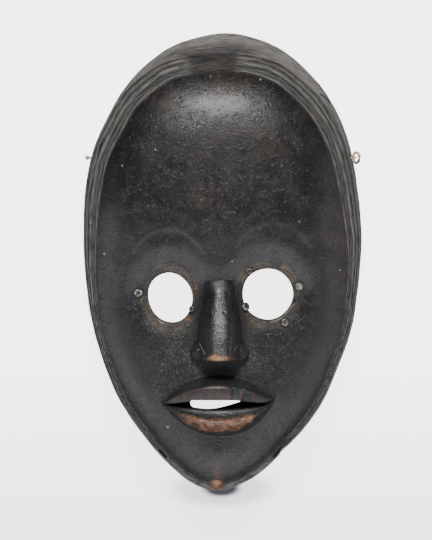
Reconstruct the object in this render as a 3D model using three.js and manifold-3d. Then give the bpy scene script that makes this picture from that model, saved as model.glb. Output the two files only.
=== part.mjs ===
// A carved wooden face mask that lies on its flat back rim, with nails round the eyes and a thin cord.
// Millimetres. +Z comes out of the face, +Y goes to the forehead, +X to the viewer's right.
// The origin is under the middle of the mask, on the plane of the back rim.

import * as THREE from 'three';
import { mergeVertices } from 'three/addons/utils/BufferGeometryUtils.js';
import Module from 'manifold-3d';

// Overall sizes. Free carving is given as shares of half the width, half the height and the depth.
const maskHeight = 245;
const maskWidth = 149;
const maskDepth = 66;

// The shell.
const rimThickness = 8;
const faceThickness = 9.5;
const shoulderHeight = 25;
const wallFlare = 11;
const grooveDepth = 1.3;
const grooveZoneWidth = 10;

// Holes through the face.
const leftEyeWidth = 23.2;
const leftEyeHeight = 26.6;
const rightEyeWidth = 26.8;
const rightEyeHeight = 27;
const mouthSlitWidth = 26.7;
const mouthSlitHeight = 4.6;
const jawCutLength = 5.8;
const jawCutWidth = 1.2;
const jawCutDepth = 17;

// Mouth and nose.
const mouthWidth = 61;
const lipHeight = 12.5;
const upperLipReach = 13.4;
const lowerLipReach = 15;
const lipsSag = 2.6;
const noseLength = 43;
const noseHalfWidth = 12;
const noseRise = 18;
const noseTipRound = 1.5;
const nostrilRadius = 4.3;

// Nails. Each shank sits in its bore with a clearance all round.
const nailShankDiameter = 1.8;
const nailShankLength = 6;
const nailHeadDiameter = 4.8;
const nailHeadThickness = 1.1;
const foreheadNailHeadDiameter = 3.4;
const clearance = 0.3;

// Cord across the hollow.
const cordDiameter = 1.3;
const cordHoleDiameter = 3.2;
const cordHoleHeight = 14;
const cordLoopDiameter = 5.6;
const cordKnotDiameter = 2.8;
const cordSlack = 11;

// How finely the forms are divided.
const rimRays = 76;
const cavityRays = 40;

const halfWidth = maskWidth / 2;
const halfHeight = maskHeight / 2;
const faceAxis = -0.021 * halfWidth;

// The widest outline, anticlockwise from the right: shares of the half width and half height, and how
// far the front edge of the side wall stands inside the back rim there, as a share of the wall's flare.
const outline = [
  [1.0, 0.095, 0.17],
  [0.973, 0.314, 0.24],
  [0.922, 0.489, 0.27],
  [0.851, 0.62, 0.35],
  [0.728, 0.751, 0.45],
  [0.604, 0.838, 0.56],
  [0.427, 0.926, 0.68],
  [0.24, 0.977, 0.86],
  [0.02, 1.0, 1],
  [-0.235, 0.973, 0.8],
  [-0.412, 0.926, 0.55],
  [-0.594, 0.838, 0.32],
  [-0.716, 0.751, 0.17],
  [-0.836, 0.62, 0.08],
  [-0.93, 0.489, 0.07],
  [-0.987, 0.314, 0.07],
  [-1.0, 0.095, 0.07],
  [-0.976, -0.124, 0.07],
  [-0.926, -0.298, 0.07],
  [-0.836, -0.473, 0.07],
  [-0.743, -0.604, 0.07],
  [-0.599, -0.736, 0.08],
  [-0.485, -0.823, 0.09],
  [-0.346, -0.91, 0.09],
  [-0.196, -0.975, 0.07],
  [-0.047, -1.0, 0.05],
  [0.126, -0.975, 0.07],
  [0.297, -0.91, 0.09],
  [0.4415, -0.823, 0.09],
  [0.578, -0.736, 0.1],
  [0.729, -0.604, 0.11],
  [0.822, -0.473, 0.12],
  [0.926, -0.298, 0.14],
  [0.973, -0.124, 0.15],
];

// Height of the face along its middle, as [share of the half height, share of the depth], without
// the nose and the lips.
const crown = [
  [-1.0, 0.62],
  [-0.9, 0.66],
  [-0.79, 0.67],
  [-0.61, 0.712],
  [-0.465, 0.725],
  [-0.29, 0.73],
  [-0.15, 0.755],
  [0.0, 0.82],
  [0.2, 0.88],
  [0.45, 0.885],
  [0.65, 0.875],
  [0.8, 0.85],
  [0.91, 0.8],
];

// Height of the ridge of the nose above the face, from its top to its tip.
const noseRidge = [[0.0, 0.0], [0.06, 0.24], [0.18, 0.42], [0.5, 0.72], [0.7, 0.88], [0.85, 0.96], [0.97, 1.0], [1.0, 0.9]];

const faceCentre = new THREE.Vector2(faceAxis, -0.465 * halfHeight);
const leftEye = new THREE.Vector2(-0.374 * halfWidth, -0.155 * halfHeight);
const rightEye = new THREE.Vector2(0.323 * halfWidth, -0.14 * halfHeight);
const socketRadius = 0.28 * halfWidth;
const socketDepth = 0.04 * maskDepth;
const noseTop = -0.082 * halfHeight;
const mouthCentre = new THREE.Vector2(-0.031 * halfWidth, -0.6 * halfHeight);

const smooth = THREE.MathUtils.smoothstep;

// A smooth curve through hand-picked points, read at one abscissa.
function readCurve(points, at) {
  const last = points.length - 1;
  if (at <= points[0][0]) return points[0][1];
  if (at >= points[last][0]) return points[last][1];
  let i = 0;
  while (at > points[i + 1][0]) i += 1;
  const [x0, y0] = points[i];
  const [x1, y1] = points[i + 1];
  const before = points[Math.max(i - 1, 0)];
  const after = points[Math.min(i + 2, last)];
  const span = x1 - x0;
  const slope0 = ((y1 - before[1]) / (x1 - before[0])) * span;
  const slope1 = ((after[1] - y0) / (after[0] - x0)) * span;
  const t = (at - x0) / span;
  const a = 2 * t ** 3 - 3 * t ** 2 + 1;
  const b = t ** 3 - 2 * t ** 2 + t;
  const c = 3 * t ** 2 - 2 * t ** 3;
  const d = t ** 3 - t ** 2;
  return a * y0 + b * slope0 + c * y1 + d * slope1;
}

const outlineCurve = new THREE.CatmullRomCurve3(
  outline.map(([p, q, flare]) => new THREE.Vector3(p * halfWidth, q * halfHeight, flare * wallFlare)),
  true,
  'centripetal',
);
const outlinePoints = outlineCurve.getSpacedPoints(720).slice(0, 720);
const outlineAngles = outlinePoints.map((v) => Math.atan2(v.y - faceCentre.y, v.x - faceCentre.x));
const fullTurn = 2 * Math.PI;

// Radius of the back rim and inset of the front edge, seen from the centre of the face at an angle.
function rimAt(angle) {
  const turn = (a) => ((a % fullTurn) + fullTurn) % fullTurn;
  const wanted = turn(angle - outlineAngles[0]);
  let low = 0;
  let high = outlinePoints.length;
  while (high - low > 1) {
    const middle = (low + high) >> 1;
    if (turn(outlineAngles[middle] - outlineAngles[0]) <= wanted) low = middle;
    else high = middle;
  }
  const from = outlinePoints[low];
  const to = outlinePoints[(low + 1) % outlinePoints.length];
  const start = turn(outlineAngles[low] - outlineAngles[0]);
  const sweep = turn(outlineAngles[(low + 1) % outlinePoints.length] - outlineAngles[low]);
  const share = sweep > 0 ? (wanted - start) / sweep : 0;
  const point = from.clone().lerp(to, share);
  return { radius: Math.hypot(point.x - faceCentre.x, point.y - faceCentre.y), flare: point.z };
}

// Height of the front edge of the side wall: a little lower along the jaw.
function edgeHeight(y) {
  return shoulderHeight * (1 - 0.08 * smooth(-y / halfHeight, 0.2, 0.8));
}

// Shallow hollow round each eye.
function socketDrop(x, y) {
  const drop = (eye) => {
    const distance = Math.hypot(x - eye.x, y - eye.y - 0.12 * socketRadius) / socketRadius;
    return socketDepth * (1 - smooth(distance, 0.45, 1.25));
  };
  return Math.max(drop(leftEye), drop(rightEye));
}

// Height of the face without grooves, nose and lips, and, for its hollow side, without the sockets.
function faceHeight(x, y, sockets = true) {
  const dx = x - faceCentre.x;
  const dy = y - faceCentre.y;
  const { radius, flare } = rimAt(Math.atan2(dy, dx));
  const share = Math.min(Math.hypot(dx, dy) / (radius - flare), 1);
  const sideways = Math.abs(x - faceAxis) / halfWidth;
  const top = readCurve(crown, y / halfHeight) * maskDepth - 0.2 * maskDepth * sideways ** 2;
  const edge = edgeHeight(y);
  const fullness = 6 + 4 * smooth(y / halfHeight, 0, 0.6);
  const rise = (1 - share ** fullness) ** 0.6;
  return edge + (top - edge - (sockets ? socketDrop(x, y) : 0)) * rise;
}

// The turned frame of a point on the face: its place and the way that the wood faces there.
function faceFrame(x, y) {
  const step = 0.5;
  const slopeX = (faceHeight(x + step, y) - faceHeight(x - step, y)) / (2 * step);
  const slopeY = (faceHeight(x, y + step) - faceHeight(x, y - step)) / (2 * step);
  const normal = new THREE.Vector3(-slopeX, -slopeY, 1).normalize();
  return { point: new THREE.Vector3(x, y, faceHeight(x, y)), normal };
}

// A closed solid from rings of points, first ring capped by a flat fan and last by one point.
function ringSolid(rings, first, last) {
  const around = rings[0].length;
  const points = rings.flat().concat([first, last]);
  const index = [];
  const firstIndex = points.length - 2;
  const lastIndex = points.length - 1;
  for (let k = 0; k < around; k += 1) {
    const next = (k + 1) % around;
    index.push(firstIndex, next, k);
    for (let j = 0; j < rings.length - 1; j += 1) {
      const a = j * around + k;
      const b = j * around + next;
      index.push(a, b, b + around, a, b + around, a + around);
    }
    const base = (rings.length - 1) * around;
    index.push(base + k, base + next, lastIndex);
  }
  const geometry = new THREE.BufferGeometry();
  geometry.setAttribute('position', new THREE.Float32BufferAttribute(points.flatMap((v) => v.toArray()), 3));
  geometry.setIndex(index);
  return geometry;
}

const wasm = await Module();
wasm.setup();

function toManifold(geometry) {
  const plain = geometry.clone();
  plain.deleteAttribute('normal');
  plain.deleteAttribute('uv');
  const merged = mergeVertices(plain, 1e-4);
  return new wasm.Manifold(new wasm.Mesh({
    numProp: 3,
    vertProperties: new Float32Array(merged.attributes.position.array),
    triVerts: new Uint32Array(merged.index.array),
  }));
}

function toGeometry(manifold) {
  const mesh = manifold.getMesh();
  const geometry = new THREE.BufferGeometry();
  geometry.setAttribute('position', new THREE.Float32BufferAttribute(mesh.vertProperties, 3));
  geometry.setIndex(Array.from(mesh.triVerts));
  return geometry;
}

// How far round the grooves run: they fade at the top of the head and end at the jaw cuts.
function grooveStrength(x, y) {
  const top = smooth(Math.abs(x + 0.07 * halfWidth) / halfWidth, 0.1, 0.3);
  const atTop = y > 0 ? top : 1;
  return atTop * smooth(y / halfHeight, -0.8, -0.7);
}

// Width of the band of grooves, broad at the top and narrow along the jaw, measured along the ray
// from the centre of the face through a point of the outline.
function grooveZone(point) {
  const angle = Math.atan2(point.y - faceCentre.y, point.x - faceCentre.x);
  const step = 0.03;
  const change = (rimAt(angle + step).radius - rimAt(angle - step).radius) / (2 * step);
  const slant = Math.hypot(1, change / rimAt(angle).radius);
  return slant * grooveZoneWidth * (0.33 + 0.67 * smooth(point.y / halfHeight, -0.5, 0.8));
}

// The band from the edge inwards: [share of the band, depth as a share of the groove depth].
const grooveProfile = [
  [0.02, 0],
  [0.1, 1],
  [0.22, 0.1],
  [0.34, 1],
  [0.46, 0.1],
  [0.6, 0.7],
  [0.84, 0.8],
  [0.93, -0.1],
  [1.0, 0.3],
];
const wallShares = [0.4, 0.8, 0.96];
const faceShares = [0.95, 0.88, 0.8, 0.71, 0.61, 0.51, 0.41, 0.31, 0.21, 0.11];

function outerBody() {
  const rings = [];
  const rays = outlineCurve.getSpacedPoints(rimRays).slice(0, rimRays);
  const place = (ray, inset, height) => {
    const away = new THREE.Vector2(ray.x, ray.y).sub(faceCentre);
    away.setLength(away.length() - inset).add(faceCentre);
    return new THREE.Vector3(away.x, away.y, height ?? faceHeight(away.x, away.y));
  };
  rings.push(rays.map((ray) => place(ray, 0, 0)));
  for (const share of wallShares) {
    rings.push(rays.map((ray) => place(ray, ray.z * share ** 1.5, edgeHeight(ray.y) * share)));
  }
  for (const [share, depth] of grooveProfile) {
    rings.push(rays.map((ray) => {
      const point = place(ray, ray.z + share * grooveZone(ray));
      point.z -= depth * grooveDepth * grooveStrength(ray.x, ray.y);
      return point;
    }));
  }
  for (const share of faceShares) {
    rings.push(rays.map((ray) => {
      const reach = new THREE.Vector2(ray.x, ray.y).distanceTo(faceCentre);
      const inner = reach - ray.z - grooveZone(ray);
      return place(ray, reach - inner * share);
    }));
  }
  const middle = new THREE.Vector3(faceCentre.x, faceCentre.y, faceHeight(faceCentre.x, faceCentre.y));
  return ringSolid(rings, new THREE.Vector3(faceCentre.x, faceCentre.y, 0), middle);
}

// The hollow behind the face. It runs past the rim plane so that the back is open.
function cavity() {
  const rays = outlineCurve.getSpacedPoints(cavityRays).slice(0, cavityRays);
  const at = (ray, radius, height) => {
    const away = new THREE.Vector2(ray.x, ray.y).sub(faceCentre).setLength(radius).add(faceCentre);
    return new THREE.Vector3(away.x, away.y, height ?? faceHeight(away.x, away.y, false) - faceThickness);
  };
  const reach = (ray) => new THREE.Vector2(ray.x, ray.y).distanceTo(faceCentre);
  const frontReach = (ray) => reach(ray) - ray.z - rimThickness;
  const past = 1;
  const rings = [
    rays.map((ray) => at(ray, reach(ray) - rimThickness, -past)),
    rays.map((ray) => at(ray, reach(ray) - rimThickness, 0)),
    rays.map((ray) => at(ray, reach(ray) - rimThickness - 0.35 * ray.z, 0.45 * edgeHeight(ray.y))),
    rays.map((ray) => at(ray, frontReach(ray) - 0.15 * rimThickness, 0.8 * edgeHeight(ray.y))),
  ];
  for (const share of [0.93, 0.82, 0.7, 0.56, 0.42, 0.28, 0.14]) {
    rings.push(rays.map((ray) => at(ray, frontReach(ray) * share)));
  }
  const middle = faceHeight(faceCentre.x, faceCentre.y, false) - faceThickness;
  return ringSolid(
    rings,
    new THREE.Vector3(faceCentre.x, faceCentre.y, -past),
    new THREE.Vector3(faceCentre.x, faceCentre.y, middle),
  );
}

// The nose: a ridge of rounded section that grows from between the eyes to a blunt tip.
function nose() {
  const rings = [];
  const sink = 0.4 * faceThickness;
  const foot = 0.06 * faceThickness;
  for (const along of [0, 0.04, 0.1, 0.2, 0.35, 0.5, 0.65, 0.8, 0.92, 1.0]) {
    const tipRound = noseTipRound * smooth(along, 0.75, 1);
    const half = noseHalfWidth * (0.68 + 0.32 * smooth(along, 0, 0.7));
    const rise = readCurve(noseRidge, along) * noseRise;
    const ring = [];
    for (let i = 0; i <= 12; i += 1) {
      const across = Math.cos((Math.PI * i) / 12);
      const x = faceAxis + across * half;
      const y = noseTop - along * noseLength + tipRound * across ** 2;
      const bulge = (1 - Math.abs(across) ** 3) ** 0.8;
      ring.push(new THREE.Vector3(x, y, faceHeight(x, y) - foot + (rise + foot) * bulge));
    }
    for (const side of [-half, half]) {
      const y = noseTop - along * noseLength + tipRound;
      ring.push(new THREE.Vector3(faceAxis + side, y, faceHeight(faceAxis + side, y) - sink));
    }
    rings.push(ring);
  }
  const middle = (ring) => {
    const centre = new THREE.Vector3();
    for (const point of ring) centre.addScaledVector(point, 1 / ring.length);
    return centre;
  };
  return ringSolid(rings, middle(rings[0]), middle(rings[rings.length - 1]));
}

// The wings of the nose, either side of the tip.
function nostril(side) {
  const geometry = new THREE.SphereGeometry(nostrilRadius, 14, 8);
  geometry.scale(1, 1.15, 1.5);
  const x = faceAxis + side * (noseHalfWidth - 0.15 * nostrilRadius);
  const y = noseTop - noseLength + nostrilRadius * 1.1;
  geometry.translate(x, y, faceHeight(x, y) + 0.2 * nostrilRadius);
  return geometry;
}

// Edge of the mouth opening at a place across the mouth from -1 to 1. The lips meet near its corners.
const lipsParted = 0.88;
function slitEdge(across, up) {
  const tilt = 0.011 * halfHeight * across ** 7;
  const sag = lipsSag * (1 - across ** 10);
  const parted = Math.max(1 - (across / lipsParted) ** 2, 0.02);
  const open = (up ? 0.48 : -0.45) * mouthSlitHeight * parted;
  return mouthCentre.y + tilt - sag + open;
}

// A lip: sections across the mouth, from its outer outline over its crest to the opening.
const upperLipSection = [[1.0, -0.25], [0.86, 0.24], [0.72, 0.6], [0.58, 0.91], [0.51, 1.0], [0.0, 0.9]];
const lowerLipSection = [
  [1.0, -0.25], [0.86, 0.46], [0.72, 0.82], [0.54, 1.0], [0.38, 0.86], [0.06, 0.55], [0.0, 0.4],
];

function lip(up) {
  const section = up ? upperLipSection : lowerLipSection;
  const rings = [];
  const sink = 0.4 * faceThickness;
  const steps = 18;
  for (let i = 0; i <= steps; i += 1) {
    const across = -0.985 * Math.cos((Math.PI * i) / steps);
    const x = mouthCentre.x + (across * mouthWidth) / 2;
    const reach = up ? upperLipReach * (1 - Math.abs(across) ** 2.6) : -lowerLipReach * (1 - across ** 2);
    const rise = lipHeight * (1 - across ** 2) ** 0.6;
    const start = slitEdge(across, up);
    const ring = section.map(([out, high]) => {
      const y = start + out * reach;
      return new THREE.Vector3(x, y, faceHeight(x, y) + high * rise);
    });
    ring.push(new THREE.Vector3(x, start, faceHeight(x, start) - sink));
    ring.push(new THREE.Vector3(x, start + reach, faceHeight(x, start + reach) - sink));
    if (!up) ring.reverse();
    rings.push(ring);
  }
  const middle = (ring) => {
    const centre = new THREE.Vector3();
    for (const point of ring) centre.addScaledVector(point, 1 / ring.length);
    return centre;
  };
  return ringSolid(rings, middle(rings[0]), middle(rings[rings.length - 1]));
}

// A straight prism of an outline, from below the rim plane to above the nose.
function prism(shape, divisions) {
  const past = 5;
  const geometry = new THREE.ExtrudeGeometry(shape, {
    depth: maskDepth + 2 * past,
    bevelEnabled: false,
    curveSegments: divisions,
  });
  geometry.translate(0, 0, -past);
  return geometry;
}

function eyeHole(eye, width, height, lean) {
  const shape = new THREE.Shape();
  shape.absellipse(eye.x, eye.y, width / 2, height / 2, 0, fullTurn, false, lean);
  return prism(shape, 30);
}

// The lower edge of the see-through slit, blunt on the left and pointed on the right, in shares of half
// its width and of its depth.
const mouthSlitLine = [
  [-1, -0.17], [-0.97, -0.55], [-0.88, -0.78], [-0.62, -0.92], [-0.34, -1], [0, -0.93],
  [0.39, -0.66], [0.79, -0.29], [0.955, -0.12], [1, -0.02], [0.94, 0.06],
];

function mouthHole() {
  const half = mouthSlitWidth / 2;
  const depth = 0.9 * mouthSlitHeight;
  const middle = mouthCentre.x - 0.12 * half;
  const top = slitEdge(0, true) - 0.09 * depth;
  const line = mouthSlitLine.map(([across, down]) => new THREE.Vector2(middle + across * half, top + down * depth));
  const shape = new THREE.Shape(new THREE.SplineCurve(line).getPoints(22));
  shape.lineTo(middle + 0.85 * half, top + 0.1 * depth);
  shape.lineTo(middle - 0.95 * half, top + 0.1 * depth);
  return prism(shape, 1);
}

// Turns a geometry whose length runs along its own Y axis to a direction, and sets it at a point.
function aimed(geometry, point, direction) {
  const turn = new THREE.Quaternion().setFromUnitVectors(new THREE.Vector3(0, 1, 0), direction);
  geometry.applyQuaternion(turn);
  geometry.translate(point.x, point.y, point.z);
  return geometry;
}

// A thin cut by the jaw, from the edge of the cheek slanting in to the hollow.
function jawCut(from, to) {
  const middle = from.clone().add(to).multiplyScalar(0.5);
  const along = new THREE.Vector3(to.x - from.x, to.y - from.y, 0).normalize();
  const { point } = faceFrame(middle.x, middle.y);
  const inward = new THREE.Vector3(faceCentre.x - middle.x, faceCentre.y - middle.y, 0).normalize();
  const sight = inward.multiplyScalar(0.62).add(new THREE.Vector3(0, 0, -1));
  sight.addScaledVector(along, -sight.dot(along)).normalize();
  const across = new THREE.Vector3().crossVectors(sight, along);
  const geometry = new THREE.BoxGeometry(jawCutLength, jawCutWidth, 2 * jawCutDepth);
  geometry.applyMatrix4(new THREE.Matrix4().makeBasis(along, across, sight));
  geometry.translate(point.x, point.y, point.z);
  return geometry;
}

const spot = (p, q) => new THREE.Vector2(p * halfWidth, q * halfHeight);
const jawCuts = [
  jawCut(spot(-0.454, -0.82), spot(-0.403, -0.854)),
  jawCut(spot(0.421, -0.812), spot(0.372, -0.85)),
];

// The nails: name, place, lean of the shank away from the eye hole in degrees, and head diameter.
const nails = [
  ['forehead_nail', spot(-0.084, 0.799), null, 0, foreheadNailHeadDiameter],
  ['eye_nail_left_outer', spot(-0.604, -0.134), leftEye, 4, nailHeadDiameter],
  ['eye_nail_left_inner', spot(-0.212, -0.208), leftEye, 24, 0.8 * nailHeadDiameter],
  ['eye_nail_right_outer', spot(0.549, -0.107), rightEye, 4, nailHeadDiameter],
  ['eye_nail_right_inner', spot(0.158, -0.197), rightEye, 24, nailHeadDiameter],
  ['eye_nail_right_lower', spot(0.445, -0.266), rightEye, 4, 0.9 * nailHeadDiameter],
  ['eye_nail_right_upper', spot(0.19, -0.038), rightEye, 4, 0.8 * nailHeadDiameter],
];

// Where a nail stands and which way its shank points out of the wood.
function nailFrame(place, eye, lean) {
  const { point, normal } = faceFrame(place.x, place.y);
  const out = normal.clone();
  if (eye) {
    const toEye = new THREE.Vector3(eye.x - place.x, eye.y - place.y, 0).normalize();
    out.addScaledVector(toEye, Math.tan(THREE.MathUtils.degToRad(lean))).normalize();
  }
  return { point, out };
}

// How far the underside of a nail's head stands out from its point on the face.
function headGap(place, eye, lean, headDiameter) {
  const { out } = nailFrame(place, eye, lean);
  const { normal } = faceFrame(place.x, place.y);
  return clearance + (headDiameter / 2) * Math.tan(out.angleTo(normal));
}

// The bore for a shank, with a flat seat that keeps its clearance under the head.
function nailBore(place, eye, lean, headDiameter) {
  const { point, out } = nailFrame(place, eye, lean);
  const radius = nailShankDiameter / 2 + clearance;
  const past = 3;
  const depth = nailShankLength + clearance;
  const bore = new THREE.CylinderGeometry(radius, radius, depth + past, 10);
  const seatRadius = headDiameter / 2 + clearance;
  const seat = new THREE.CylinderGeometry(seatRadius, seatRadius, past, 14);
  const seatMiddle = headGap(place, eye, lean, headDiameter) - clearance + past / 2;
  const boreSolid = toManifold(aimed(bore, point.clone().addScaledVector(out, (past - depth) / 2), out));
  return boreSolid.add(toManifold(aimed(seat, point.clone().addScaledVector(out, seatMiddle), out)));
}

// Head and shank of a nail, turned as one.
function nail(place, eye, lean, headDiameter) {
  const { point, out } = nailFrame(place, eye, lean);
  const headRadius = headDiameter / 2;
  const gap = headGap(place, eye, lean, headDiameter);
  const shank = nailShankDiameter / 2;
  const profile = [
    new THREE.Vector2(0, -nailShankLength),
    new THREE.Vector2(0.4 * shank, -nailShankLength),
    new THREE.Vector2(shank, -0.75 * nailShankLength),
    new THREE.Vector2(shank, gap),
    new THREE.Vector2(headRadius, gap),
    new THREE.Vector2(headRadius, gap + 0.45 * nailHeadThickness),
    new THREE.Vector2(0.6 * headRadius, gap + nailHeadThickness),
    new THREE.Vector2(0, gap + 1.05 * nailHeadThickness),
  ];
  return aimed(new THREE.LatheGeometry(profile, 8), point, out);
}

// The cord holes go level through the side walls, at one height above the rim plane.
const cordLine = 0.454 * halfHeight;

// How far a wall stands inside the widest outline at the height of the cord holes.
function outerInset(flare) {
  return flare * (cordHoleHeight / edgeHeight(cordLine)) ** 1.5;
}

function innerInset(flare) {
  return rimThickness + 0.35 * flare;
}

// Where a wall crosses the line of the cord, on the left (-1) or the right (1).
function wallAt(side, inset) {
  const reachAt = (angle) => {
    const { radius, flare } = rimAt(side > 0 ? angle : Math.PI - angle);
    return radius - inset(flare);
  };
  let low = 0;
  let high = Math.PI / 2;
  for (let i = 0; i < 40; i += 1) {
    const angle = (low + high) / 2;
    if (faceCentre.y + reachAt(angle) * Math.sin(angle) < cordLine) low = angle;
    else high = angle;
  }
  return new THREE.Vector3(faceCentre.x + side * reachAt(low) * Math.cos(low), cordLine, cordHoleHeight);
}
const rightWall = wallAt(1, outerInset);
const leftWall = wallAt(-1, outerInset);
const rightInnerWall = wallAt(1, innerInset);
const leftInnerWall = wallAt(-1, innerInset);

function cordHole(outer, inner) {
  const past = 4;
  const radius = cordHoleDiameter / 2;
  const length = outer.distanceTo(inner) + 2 * past;
  const middle = outer.clone().add(inner).multiplyScalar(0.5);
  return aimed(new THREE.CylinderGeometry(radius, radius, length, 10), middle, new THREE.Vector3(1, 0, 0));
}

// What shows of the cord outside a wall, with the short stretch inside the hole.
const cordRadius = cordDiameter / 2;
function cordStem(outer, inner) {
  const outside = 0.9 * cordDiameter;
  const way = outer.clone().sub(inner).normalize();
  const length = outer.distanceTo(inner) + outside;
  const stem = new THREE.CylinderGeometry(cordRadius, cordRadius, length, 8);
  return toManifold(aimed(stem, inner.clone().addScaledVector(way, length / 2), way));
}

function cordLoop() {
  const ring = new THREE.TorusGeometry(cordLoopDiameter / 2, cordRadius, 6, 16);
  ring.scale(0.6, 1, 1);
  ring.translate(rightWall.x + 0.7 * cordDiameter + 0.3 * cordLoopDiameter, rightWall.y, rightWall.z);
  const knot = new THREE.SphereGeometry(0.4 * cordKnotDiameter, 8, 6);
  knot.translate(rightWall.x + 1.2 * cordDiameter, rightWall.y, rightWall.z);
  return toGeometry(cordStem(rightWall, rightInnerWall).add(toManifold(ring)).add(toManifold(knot)));
}

function cordKnot() {
  const knot = new THREE.SphereGeometry(cordKnotDiameter / 2, 10, 7);
  knot.translate(leftWall.x - 0.5 * (cordDiameter + cordKnotDiameter), leftWall.y, leftWall.z);
  return toGeometry(cordStem(leftWall, leftInnerWall).add(toManifold(knot)));
}

// The free stretch of cord: out of both holes, down under its own weight and along the ground.
function hangingCord() {
  const left = leftInnerWall.x + clearance;
  const right = rightInnerWall.x - clearance;
  const ground = cordRadius + 0.5 * clearance;
  const span = right - left;
  const along = (share, height, slack) => (
    new THREE.Vector3(left + share * span, cordLine - slack * cordSlack, height)
  );
  const route = new THREE.CatmullRomCurve3([
    along(0, cordHoleHeight, 0),
    along(0.025, cordHoleHeight, 0),
    along(0.07, 0.82 * cordHoleHeight, 0.03),
    along(0.12, 0.5 * cordHoleHeight, 0.09),
    along(0.17, 0.2 * cordHoleHeight, 0.18),
    along(0.23, ground, 0.36),
    along(0.36, ground, 0.82),
    along(0.5, ground, 1),
    along(0.64, ground, 0.73),
    along(0.77, ground, 0.27),
    along(0.83, 0.2 * cordHoleHeight, 0.14),
    along(0.88, 0.5 * cordHoleHeight, 0.07),
    along(0.93, 0.82 * cordHoleHeight, 0.03),
    along(0.975, cordHoleHeight, 0),
    along(1, cordHoleHeight, 0),
  ], false, 'centripetal');
  const section = new THREE.Shape();
  section.absarc(0, 0, cordRadius, 0, fullTurn, false);
  return new THREE.ExtrudeGeometry(section, { steps: 44, extrudePath: route, curveSegments: 4 });
}

function carvedMask() {
  let body = toManifold(outerBody());
  for (const piece of [nose(), nostril(-1), nostril(1), lip(true), lip(false)]) {
    body = body.add(toManifold(piece));
  }
  const cuts = [
    cavity(),
    eyeHole(leftEye, leftEyeWidth, leftEyeHeight, 0.3),
    eyeHole(rightEye, rightEyeWidth, rightEyeHeight, 0),
    mouthHole(),
    cordHole(rightWall, rightInnerWall),
    cordHole(leftWall, leftInnerWall),
    ...jawCuts,
  ].map(toManifold);
  for (const [, place, eye, lean, headDiameter] of nails) {
    cuts.push(nailBore(place, eye, lean, headDiameter));
  }
  for (const cut of cuts) {
    body = body.subtract(cut);
  }
  return toGeometry(body);
}

const wood = new THREE.MeshStandardMaterial({ color: 0x353436, roughness: 0.45, metalness: 0 });
const iron = new THREE.MeshStandardMaterial({ color: 0x4a4643, roughness: 0.5, metalness: 0.8 });
const fibre = new THREE.MeshStandardMaterial({ color: 0xc9b592, roughness: 0.9, metalness: 0 });

const mask = new THREE.Group();
mask.name = 'dan_mask';

function add(name, geometry, material) {
  const mesh = new THREE.Mesh(geometry, material);
  mesh.name = name;
  mask.add(mesh);
}

add('carved_mask', carvedMask(), wood);
for (const [name, place, eye, lean, headDiameter] of nails) {
  add(name, nail(place, eye, lean, headDiameter), iron);
}
add('hanging_cord', hangingCord(), fibre);
add('cord_loop_right', cordLoop(), fibre);
add('cord_knot_left', cordKnot(), fibre);

export default mask;
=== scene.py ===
"""Looks for a carved wooden face mask that lies on its back rim, with nails, and a cord behind."""
import math
from functools import cached_property
from types import SimpleNamespace

import bmesh
import bpy
import numpy as np
from mathutils import Matrix, Vector


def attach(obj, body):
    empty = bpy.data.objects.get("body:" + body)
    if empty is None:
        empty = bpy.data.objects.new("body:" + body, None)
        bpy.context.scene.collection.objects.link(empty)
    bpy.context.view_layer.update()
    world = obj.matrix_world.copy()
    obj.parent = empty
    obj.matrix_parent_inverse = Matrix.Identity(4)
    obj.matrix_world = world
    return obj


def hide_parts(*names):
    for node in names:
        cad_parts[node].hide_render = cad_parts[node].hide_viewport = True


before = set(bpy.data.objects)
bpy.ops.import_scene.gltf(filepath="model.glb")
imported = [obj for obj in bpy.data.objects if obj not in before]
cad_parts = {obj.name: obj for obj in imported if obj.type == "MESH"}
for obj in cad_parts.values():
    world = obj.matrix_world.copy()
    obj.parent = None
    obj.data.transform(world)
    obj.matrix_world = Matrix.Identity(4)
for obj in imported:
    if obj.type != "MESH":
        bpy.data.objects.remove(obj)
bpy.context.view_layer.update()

# Sizes of the carving in millimetres, the same as the solids have.
MASK_HEIGHT = 245.0
MASK_WIDTH = 149.0
MASK_DEPTH = 66.0
RIM_THICKNESS = 8.0
FACE_THICKNESS = 9.5
SHOULDER_HEIGHT = 25.0
WALL_FLARE = 11.0
GROOVE_ZONE_WIDTH = 10.0
LEFT_EYE_SIZE = (23.2, 26.6)
RIGHT_EYE_SIZE = (26.8, 27.0)
MOUTH_SLIT_WIDTH = 26.7
MOUTH_SLIT_HEIGHT = 4.6
MOUTH_WIDTH = 61.0
LIP_HEIGHT = 12.5
UPPER_LIP_REACH = 13.4
LOWER_LIP_REACH = 15.0
LIPS_SAG = 2.6
NOSE_LENGTH = 43.0
NOSE_HALF_WIDTH = 12.0
NOSE_RISE = 18.0
NOSE_TIP_ROUND = 1.5
NOSTRIL_RADIUS = 4.3
NAIL_SHANK_DIAMETER = 1.8
NAIL_SHANK_LENGTH = 6.0
NAIL_HEAD_DIAMETER = 4.8
FOREHEAD_NAIL_HEAD_DIAMETER = 3.4
CLEARANCE = 0.3
CORD_DIAMETER = 1.3
CORD_HOLE_DIAMETER = 3.2
CORD_HOLE_HEIGHT = 14.0
CORD_LOOP_DIAMETER = 5.6
CORD_SLACK = 11.0
JAW_CUT_LENGTH = 5.8
JAW_CUT_WIDTH = 1.2
JAW_CUT_DEPTH = 17.0

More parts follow.
